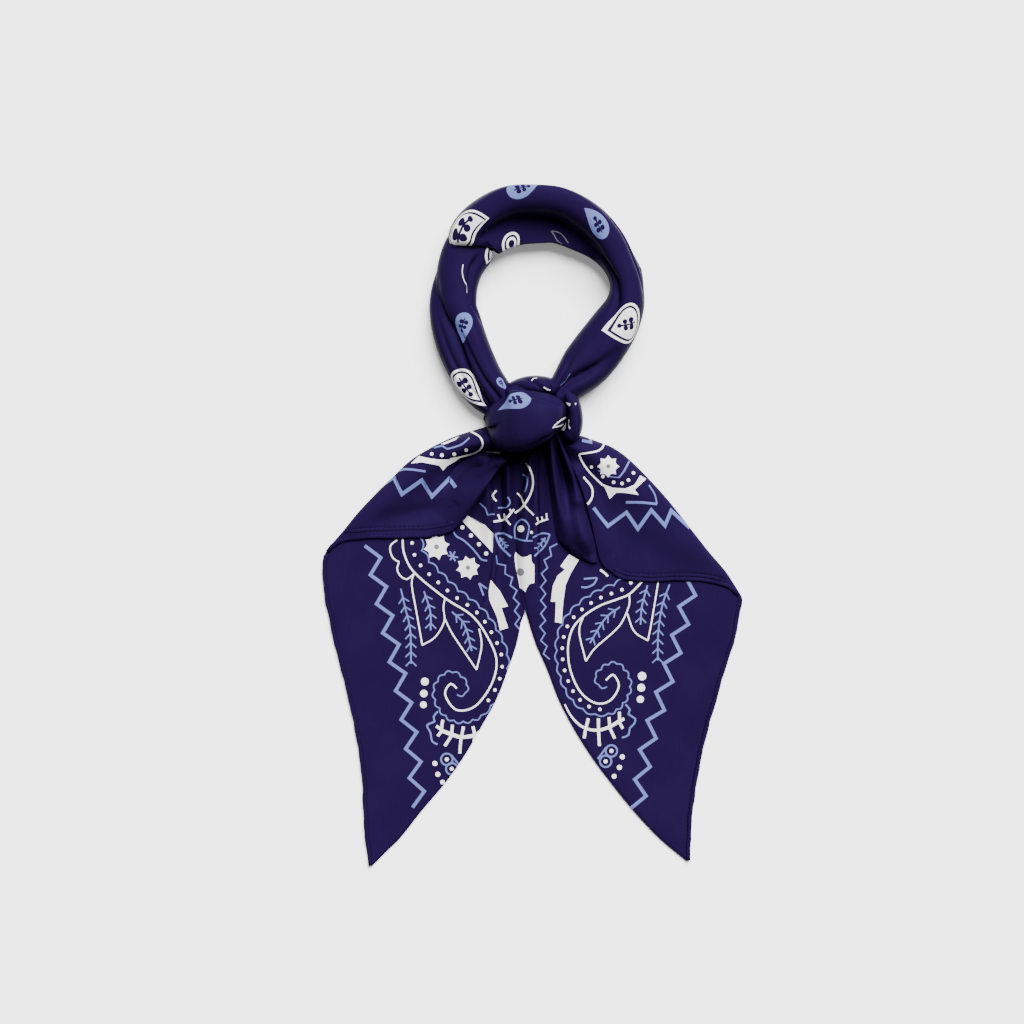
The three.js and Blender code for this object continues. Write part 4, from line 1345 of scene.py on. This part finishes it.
def centre_design():
    """What shows between the tails, on the pleats under the knot."""
    design = Print()
    design.curves([
        ([(-3.9, 37.5), (-0.5, 32), (0.6, 25), (-1.4, 17.9), (-6, 11), (-10, 8)], 1.15, WHITE),
        ([(-5.6, 30.7), (-3.1, 29), (-3.1, 24.3), (-4.4, 20)], 1.0, LIGHT),
        ([(-8.7, 19.6), (-6.3, 17), (-4.6, 12.6), (1, 6.7)], 0.95, WHITE),
        ([(-22.5, 2.9), (-17, 3.9), (-13.5, 6.5), (-10.6, 10.2)], 1.15, WHITE),
    ])
    left_ribs = [
        (-19.9, 7.2, -18.6, 3.4), (-16.4, 7.6, -15.9, 4.2), (-12.6, 1, -15.6, 4.4), (-13.2, 10.2, -11.6, 8),
    ]
    design.strokes(left_ribs, 1.0, WHITE)
    design.line(curve([(2.2, 1.2), (5, 2.9), (9.4, 4.4)]), 0.95, WHITE)
    design.strokes([(2.9, 5.4, 4, 2.3), (5.7, 5.8, 6.2, 3), (8.4, 7.8, 8.7, 4.2)], 0.85, WHITE)
    design.curves([
        ([(-20, 11), (-15, 11.3), (-12.7, 14.3), (-14.4, 17.4)], 0.9, LIGHT),
        ([(-20.9, 21.2), (-23.2, 18), (-20.8, 14.9)], 1.0, WHITE),
    ])
    design.line([(-30.7, 13.8), (-27.3, 10.7), (-26, 6.9), (-21.9, 7.3)], 0.9, LIGHT)
    design.curves([
        ([(-9.9, -7), (-10, 0), (-6, 4.2), (-1.8, 0.4), (-3.2, -7.8)], 0.9, LIGHT),
        ([(-10.4, -6.5), (-5.6, -8.1), (0.4, -8.4)], 0.9, LIGHT),
    ])
    design.dots([(-6.6, -1.3, 2.0), (-0.3, -3.4, 0.9)], WHITE)
    middle = -5.6
    for side, width, pairs in ((-1, 1.2, 3), (1, 1.0, 2)):
        tip = (middle + side * 16, -4.6)
        foot = (middle + side * 7, -17.5)
        design.line(curve([tip, (middle + side * 11.5, -3.9), (middle + side * 6, -6.6)]), width, LIGHT)
        design.line(curve([tip, (middle + side * 13.2, -11.2), foot]), width, LIGHT)
        axis = [(middle + side * 13.5, -6.5), (middle + side * 9, -12.5)]
        design.fern(axis, pairs, twig=2.2, width=0.9, ink=LIGHT)
    design.flower(-6.8, -26.7, 11.8, 0.24)
    design.trim(-7.2, -10.2, 1.4)
    return design


def flap_design(name):
    """What shows of the square's middle on a flap or on the tongue."""
    rows = FLAP_PRINTS[name]
    design = Print()
    for ring, ink in rows["fills"]:
        design.fill(ring, ink)
    for points, width, ink in rows["angles"]:
        design.line(points, width, ink)
    design.curves(rows["lines"])
    design.dots(rows["dots"], WHITE)
    for x, y, radius in rows["flowers"]:
        design.flower(x, y, radius)
    return design


def drop_design(turn, length, width, bend, framed):
    """A pale drop, or a white one in a white frame, with a plain sprig where there is room for it."""
    design = Print()
    broad = width > BROAD_DROP
    if framed:
        for inset, ink in FRAME[:3] if broad else FRAME:
            back = turned(-inset / 2, 0, turn)
            design.fill(drop(length - 3 * inset, width - 2 * inset, bend, turn) + back, ink)
    else:
        design.fill(drop(length, width, bend, turn), LIGHT)
    if broad or not framed:
        sprig(design, turn, min(length / 23, width / 12))
    return design.outlines


def sprig(design, turn, size):
    """A short stem with small round leaves in pairs, in the cloth's own colour."""
    leaves = [(-4.8, 1.8, 1.6), (-4.8, -1.8, 1.6), (-1.2, 1.7, 1.4), (-1.2, -1.7, 1.4), (2.2, 0, 1.3)]
    for along, across, radius in leaves:
        x, y = turned(along * size, across * size, turn)
        design.fill(circle(x, y, radius * size, 12), CLOTH)
    stem = np.array([turned(along, 0, turn) for along in (-7.4, 2)])
    design.line(stem * size, 0.9 * size, CLOTH)


def build_node_groups():
    """The effects that both materials share: the satin's weave and its uneven tone."""
    weave_group()
    tone_group()


def new_group(name, sockets_in, sockets_out):
    """An empty shader node group with named inputs and outputs, and its two end nodes."""
    group = bpy.data.node_groups.new(name, "ShaderNodeTree")
    for label, kind, value in sockets_in:
        socket = group.interface.new_socket(label, in_out="INPUT", socket_type=kind)
        if value is not None:
            socket.default_value = value
    for label, kind in sockets_out:
        group.interface.new_socket(label, in_out="OUTPUT", socket_type=kind)
    return group, group.nodes.new("NodeGroupInput"), group.nodes.new("NodeGroupOutput")


def math_node(tree, operation, first, second=None):
    """A math node on two sockets or numbers."""
    node = tree.nodes.new("ShaderNodeMath")
    node.operation = operation
    for place, value in enumerate((first, second)):
        if value is None:
            continue
        if isinstance(value, (int, float)):
            node.inputs[place].default_value = value
        else:
            tree.links.new(value, node.inputs[place])
    return node.outputs[0]


def weave_group():
    """Satin: long floats along one thread, crossed by a faint second thread."""
    group, entry, leave = new_group(
        "Satin weave",
        [
            ("Cloth", "NodeSocketVector", None),
            ("Threads", "NodeSocketFloat", 260.0),
            ("Slub", "NodeSocketFloat", 0.4),
        ],
        [("Height", "NodeSocketFloat"), ("Shade", "NodeSocketFloat")],
    )
    links = group.links
    split = group.nodes.new("ShaderNodeSeparateXYZ")
    links.new(entry.outputs["Cloth"], split.inputs[0])
    warp = math_node(group, "MULTIPLY", split.outputs[0], entry.outputs["Threads"])
    weft = math_node(group, "MULTIPLY", split.outputs[1], entry.outputs["Threads"])
    warp_wave = math_node(group, "SINE", math_node(group, "MULTIPLY", warp, 2 * math.pi))
    weft_wave = math_node(group, "SINE", math_node(group, "MULTIPLY", weft, math.pi))
    threads = math_node(group, "ADD", warp_wave, math_node(group, "MULTIPLY", weft_wave, 0.35))
    stretch = group.nodes.new("ShaderNodeMapping")
    stretch.inputs["Scale"].default_value = (160.0, 9.0, 1.0)
    links.new(entry.outputs["Cloth"], stretch.inputs["Vector"])
    slub = group.nodes.new("ShaderNodeTexNoise")
    slub.inputs["Scale"].default_value = 1.0
    slub.inputs["Detail"].default_value = 3.0
    links.new(stretch.outputs[0], slub.inputs["Vector"])
    slubs = math_node(group, "MULTIPLY", slub.outputs["Fac"], entry.outputs["Slub"])
    height = math_node(group, "ADD", math_node(group, "MULTIPLY", threads, 0.25), slubs)
    links.new(height, leave.inputs["Height"])
    links.new(slub.outputs["Fac"], leave.inputs["Shade"])


def tone_group():
    """Two slow changes over the cloth, from handling and from how the satin lies."""
    group, entry, leave = new_group(
        "Cloth tone",
        [
            ("Cloth", "NodeSocketVector", None),
            ("Scale", "NodeSocketFloat", 5.0),
            ("Fine", "NodeSocketFloat", 60.0),
        ],
        [("Broad", "NodeSocketFloat"), ("Fine", "NodeSocketFloat")],
    )
    for label, source in (("Broad", "Scale"), ("Fine", "Fine")):
        noise = group.nodes.new("ShaderNodeTexNoise")
        noise.inputs["Detail"].default_value = 2.0
        group.links.new(entry.outputs["Cloth"], noise.inputs["Vector"])
        group.links.new(entry.outputs[source], noise.inputs["Scale"])
        group.links.new(noise.outputs["Fac"], leave.inputs[label])


def place_group(tree, name, values):
    """A shared node group placed in a material, with its own values."""
    node = tree.nodes.new("ShaderNodeGroup")
    node.node_tree = bpy.data.node_groups[name]
    for label, value in values.items():
        node.inputs[label].default_value = value
    return node


def inked(tree, cloth, inks):
    """The cloth's colour, with each ink over it where the ink attribute says so."""
    mask = tree.nodes.new("ShaderNodeAttribute")
    mask.attribute_name = "ink"
    split = tree.nodes.new("ShaderNodeSeparateColor")
    tree.links.new(mask.outputs["Color"], split.inputs[0])
    current = None
    for channel, ink in enumerate(inks):
        blend = tree.nodes.new("ShaderNodeMix")
        blend.data_type = "RGBA"
        blend.inputs["A"].default_value = (*cloth, 1)
        blend.inputs["B"].default_value = (*ink, 1)
        tree.links.new(split.outputs[channel], blend.inputs["Factor"])
        if current:
            tree.links.new(current, blend.inputs["A"])
        current = blend.outputs["Result"]
    return current


def cloth_material(name, cloth, inks):
    """Satin in the cloth's own colour, with any inks where the ink attribute says so."""
    material = bpy.data.materials.new(name)
    material.use_nodes = True
    tree = material.node_tree
    shader = tree.nodes["Principled BSDF"]
    place = tree.nodes.new("ShaderNodeUVMap")
    place.uv_map = "cloth"
    weave = place_group(tree, "Satin weave", {"Threads": 260.0, "Slub": 0.5})
    tone = place_group(tree, "Cloth tone", {"Scale": 4.0, "Fine": 45.0})
    tree.links.new(place.outputs[0], weave.inputs["Cloth"])
    tree.links.new(place.outputs[0], tone.inputs["Cloth"])
    shade = tree.nodes.new("ShaderNodeHueSaturation")
    shade.inputs["Color"].default_value = (*cloth, 1)
    if inks:
        tree.links.new(inked(tree, cloth, inks), shade.inputs["Color"])
    broad = math_node(tree, "ADD", math_node(tree, "MULTIPLY", tone.outputs["Broad"], 0.35), 0.72)
    value = math_node(tree, "ADD", broad, math_node(tree, "MULTIPLY", weave.outputs["Shade"], 0.2))
    tree.links.new(value, shade.inputs["Value"])
    tree.links.new(shade.outputs[0], shader.inputs["Base Color"])
    rough = math_node(tree, "MULTIPLY", tone.outputs["Fine"], ROUGHNESS_CHANGE)
    rough = math_node(tree, "ADD", rough, ROUGHNESS - ROUGHNESS_CHANGE / 2)
    tree.links.new(rough, shader.inputs["Roughness"])
    bump = tree.nodes.new("ShaderNodeBump")
    bump.inputs["Strength"].default_value = 0.25
    bump.inputs["Distance"].default_value = 0.0002
    tree.links.new(weave.outputs["Height"], bump.inputs["Height"])
    tree.links.new(bump.outputs[0], shader.inputs["Normal"])
    shader.inputs["Specular IOR Level"].default_value = 0.008
    shader.inputs["Specular Tint"].default_value = (0.5, 0.4, 1.0, 1)
    return material


def satin(printed=True):
    """The cloth's material, made once with the print and once plain, for the hems."""
    name = "Satin with print" if printed else "Satin of the hems"
    if name not in bpy.data.materials:
        colours = bpy.context.scene.bandana_colours
        inks = (colours.white_ink, colours.light_ink, colours.grey_and_shaded_ink) if printed else ()
        cloth_material(name, tuple(colours.cloth), [tuple(ink) for ink in inks])
    return bpy.data.materials[name]


class BandanaSizes(bpy.types.PropertyGroup):
    """Sizes that a maker would change."""

    spacing: bpy.props.FloatProperty(
        name="Mesh spacing",
        description="Distance between the points that carry the cloth's form, in millimetres",
        default=1.6,
        min=0.8,
        max=4,
    )
    camera_height: bpy.props.FloatProperty(
        name="Camera height",
        description="Height of the camera above the surface that the bandana lies on",
        default=1.5,
        unit="LENGTH",
    )


class BandanaColours(bpy.types.PropertyGroup):
    """Colours of the cloth and its inks."""

    cloth: bpy.props.FloatVectorProperty(
        name="Cloth",
        description="Colour of the satin",
        default=(0.0063, 0.0026, 0.0202),
        subtype="COLOR",
        size=3,
    )
    white_ink: bpy.props.FloatVectorProperty(
        name="White ink",
        description="Colour of the main print",
        default=(0.57, 0.56, 0.55),
        subtype="COLOR",
        size=3,
    )
    light_ink: bpy.props.FloatVectorProperty(
        name="Light ink",
        description="Colour of the second print",
        default=(0.077, 0.095, 0.238),
        subtype="COLOR",
        size=3,
    )
    # Grey also paints shade: thin grey lines on the ring's top stand for a pale drop in shade.
    grey_and_shaded_ink: bpy.props.FloatVectorProperty(
        name="Grey ink",
        description="Colour of the flowers' middles",
        default=(0.1, 0.1, 0.105),
        subtype="COLOR",
        size=3,
    )


class BANDANA_OT_rolls(bpy.types.Operator):
    """Make the ring's rolled stretches and the knot"""

    bl_idname = "bandana.rolls"
    bl_label = "Ring and knot"

    def execute(self, context):
        spacing = context.scene.bandana_sizes.spacing
        # Each end narrows to a share of its size, or keeps it at 0. A lower power makes a fuller crown.
        pieces = [
            ("ring_band", RING_ROLL, RING_CREASES, (0.86, 0), 0.95),
            ("ring_inner_roll", INNER_ROLL, INNER_CREASES, (0, 0), 0.9),
            ("ring_outer_roll", OUTER_ROLL, OUTER_CREASES, (0.2, 0), 0.9),
            ("knot_band", KNOT_BAND, KNOT_CREASES, (0.3, 0.3), 0.42),
            ("knot_back", KNOT_BACK, BACK_CREASES, (0.3, 0.3), 0.95),
            ("knot_side", KNOT_SIDE, SIDE_CREASES, (0.3, 0.3), 0.95),
        ]
        for name, rows, creases, closes, crown in pieces:
            form = Roll(rows, creases, closes, crown)
            outlines = []
            for x, y, *drop_sizes in DROPS[name]:
                outlines += form.printed(x, y, drop_design(*drop_sizes))
            for points, width, ink in ROLL_LINES.get(name, ()):
                x, y = points[len(points) // 2]
                design = Print()
                design.line(curve([(to_x - x, to_y - y) for to_x, to_y in points]), width, ink)
                outlines += form.printed(x, y, design.outlines)
            piece = shell(name + "_cloth", form, outlines, spacing, two_faced=False)
            dress(piece, satin(), name)
        return {"FINISHED"}


class BANDANA_OT_tails(bpy.types.Operator):
    """Make the two doubled tails"""

    bl_idname = "bandana.tails"
    bl_label = "Tails"

    def execute(self, context):
        spacing = context.scene.bandana_sizes.spacing
        lower_inset = HEM_RADIUS + 0.3
        knot = 58
        left_tip, right_tip = -199, -196
        left_heights = tail_heights(LEFT_TAIL_FOLDS, "high", size=28, turn=0.4)
        right_heights = tail_heights(RIGHT_TAIL_FOLDS, "low", size=31, turn=1.9, lift=over_the_other)
        left = Sheet(
            LEFT_TAIL, TAIL_COLUMNS, knot, left_tip,
            (tail_inset(-13, -4), lapped), left_heights, LEFT_TAIL_FOLDS,
        )
        right = Sheet(
            RIGHT_TAIL, TAIL_COLUMNS, knot, right_tip,
            (no_inset, tail_inset(-40, -32)), right_heights, RIGHT_TAIL_FOLDS,
        )
        for side, form, rows, inward, start, end in (
            ("left", left, LEFT_TAIL, 1, -15.4, left_tip),
            ("right", right, RIGHT_TAIL, -1, -40.6, right_tip),
        ):
            upper = hem_line(rows, TAIL_COLUMNS, side, inward, start, end, HEM_RADIUS)
            lower = hem_line(rows, TAIL_COLUMNS, side, inward, start, end, lower_inset)
            parts = hem_parts(upper, UPPER_HEM_HEIGHT, HEM_RADIUS, HEM_RISE, inward)
            parts.append(rope(np.column_stack([lower, np.full(len(lower), HEM_RISE)]), *LOWER_HEM))
            hem = join(side + "_hem_roll", parts)
            dress(hem, satin(printed=False), side + "_hem")
            outlines = corner_design(side).outlines + centre_design().outlines
            piece = shell(side + "_tail_cloth", form, outlines, spacing)
            dress(piece, satin(), side + "_tail")
        return {"FINISHED"}


class BANDANA_OT_flaps(bpy.types.Operator):
    """Make the flaps that fold over onto the tails, and the tongue"""

    bl_idname = "bandana.flaps"
    bl_label = "Flaps"

    def execute(self, context):
        spacing = context.scene.bandana_sizes.spacing
        left_heights = flap_heights(LEFT_FLAP_FOLDS, size=26, turn=2.3, hem=FLAP_HEMS["left_flap"])
        right_heights = flap_heights(RIGHT_FLAP_FOLDS, size=29, turn=0.9, hem=FLAP_HEMS["right_flap"])
        edges = (flap_inset, no_inset)
        left = Sheet(LEFT_FLAP, FLAP_COLUMNS, -122.5, -12, edges, left_heights, LEFT_FLAP_FOLDS)
        right = Sheet(RIGHT_FLAP, FLAP_COLUMNS, 12, 123, edges, right_heights, RIGHT_FLAP_FOLDS)
        tongue = Sheet(TONGUE, TAIL_COLUMNS, 56, -21, (no_inset, no_inset), tongue_heights, TONGUE_FOLDS)
        for name, form, rows, flat in (
            ("left_flap", left, LEFT_FLAP, (0.06, 0.11)),
            ("right_flap", right, RIGHT_FLAP, (0.065, 0.12)),
            ("right_tongue", tongue, TONGUE, (0.03, 0.08)),
        ):
            if name in FLAP_HEMS:
                start, end, apart = FLAP_HEMS[name]
                inner = 1 if end > start else -1
                lower = hem_line(rows, FLAP_COLUMNS, "low", 1, start, end, HEM_RADIUS)
                upper_end = mix(start, end, 0.86)
                upper = hem_line(rows, FLAP_COLUMNS, "low", 1, start, upper_end, apart)
                on_top = form.surface(upper, 0)[:, 2]
                parts = hem_parts(lower, FLAP_REST + HEM_RISE, HEM_RADIUS, HEM_RISE, inner)
                parts += hem_parts(upper, on_top, *FLAP_UPPER_HEM, inner)
                hem = join(name + "_hem_roll", parts)
                dress(hem, satin(printed=False), name + "_hem")
            piece = shell(name + "_cloth", form, flap_design(name).outlines, spacing)
            dress(piece, satin(), name)
        return {"FINISHED"}


class BANDANA_OT_stage(bpy.types.Operator):
    """Set the floor, the lights and the camera"""

    bl_idname = "bandana.stage"
    bl_label = "Stage"

    def execute(self, context):
        add_floor()
        add_light("window", strength=15.6, tilt=38, turn=-20, softness=44)
        world = bpy.data.worlds.new("room")
        world.use_nodes = True
        background = world.node_tree.nodes["Background"]
        background.inputs["Color"].default_value = (1, 1, 1, 1)
        background.inputs["Strength"].default_value = 0.15
        context.scene.world = world
        add_camera(context.scene.bandana_sizes.camera_height)
        return {"FINISHED"}


def add_floor():
    """A plain pale floor just under the bandana, a little brighter to the camera than its light makes it."""
    mesh = bpy.data.meshes.new("floor")
    reach = 3.0
    gap = 0.0003
    corners = [(-reach, -reach, 0), (reach, -reach, 0), (reach, reach, 0), (-reach, reach, 0)]
    mesh.from_pydata(corners, [], [(0, 1, 2, 3)])
    floor = add("floor", mesh)
    floor.location.z = -gap
    material = bpy.data.materials.new("paper")
    material.use_nodes = True
    shader = material.node_tree.nodes["Principled BSDF"]
    shader.inputs["Base Color"].default_value = (0.93, 0.93, 0.93, 1)
    shader.inputs["Roughness"].default_value = 1.0
    shader.inputs["Specular IOR Level"].default_value = 0.0
    shader.inputs["Emission Color"].default_value = (1, 1, 1, 1)
    seen = material.node_tree.nodes.new("ShaderNodeLightPath").outputs["Is Camera Ray"]
    glow = math_node(material.node_tree, "MULTIPLY", seen, 0.2)
    material.node_tree.links.new(glow, shader.inputs["Emission Strength"])
    mesh.materials.append(material)


def add_light(name, strength, tilt, turn, softness):
    """A broad soft light from beyond the ring: its tilt from overhead, its turn and its width in degrees."""
    lamp = bpy.data.lights.new(name, "SUN")
    lamp.energy = strength
    lamp.angle = math.radians(softness)
    thing = bpy.data.objects.new(name, lamp)
    bpy.context.scene.collection.objects.link(thing)
    thing.rotation_euler = (-math.radians(tilt), 0, math.radians(turn))


def add_camera(height):
    """The camera straight above the bandana, as in the photograph, which shows 0.6 m of the floor."""
    lens = bpy.data.cameras.new("camera")
    sensor = 36.0
    shown = 0.6016
    middle = (-0.01175, 0.00852)
    lens.sensor_width = sensor
    lens.lens = sensor * height / shown
    camera = bpy.data.objects.new("camera", lens)
    bpy.context.scene.collection.objects.link(camera)
    camera.location = (*middle, height)
    bpy.context.scene.camera = camera


class BANDANA_PT_panel(bpy.types.Panel):
    """Buttons for each group of pieces"""

    bl_label = "Bandana"
    bl_idname = "BANDANA_PT_panel"
    bl_space_type = "VIEW_3D"
    bl_region_type = "UI"
    bl_category = "Bandana"

    def draw(self, context):
        for prop in ("spacing", "camera_height"):
            self.layout.prop(context.scene.bandana_sizes, prop)
        for prop in ("cloth", "white_ink", "light_ink", "grey_and_shaded_ink"):
            self.layout.prop(context.scene.bandana_colours, prop)
        for operator in OPERATORS:
            self.layout.operator(operator.bl_idname)


OPERATORS = (BANDANA_OT_stage, BANDANA_OT_rolls, BANDANA_OT_tails, BANDANA_OT_flaps)
CLASSES = (BandanaSizes, BandanaColours, *OPERATORS, BANDANA_PT_panel)


def register():
    """Registers the add-on's classes and its settings on the scene."""
    for cls in CLASSES:
        bpy.utils.register_class(cls)
    bpy.types.Scene.bandana_sizes = bpy.props.PointerProperty(type=BandanaSizes)
    bpy.types.Scene.bandana_colours = bpy.props.PointerProperty(type=BandanaColours)


def unregister():
    """Takes the settings and the classes off again."""
    del bpy.types.Scene.bandana_colours
    del bpy.types.Scene.bandana_sizes
    for cls in reversed(CLASSES):
        bpy.utils.unregister_class(cls)


def main():
    """Builds the bandana."""
    register()
    build_node_groups()
    bpy.ops.bandana.stage()
    bpy.ops.bandana.rolls()
    bpy.ops.bandana.tails()
    bpy.ops.bandana.flaps()


if __name__ == "__main__":
    main()
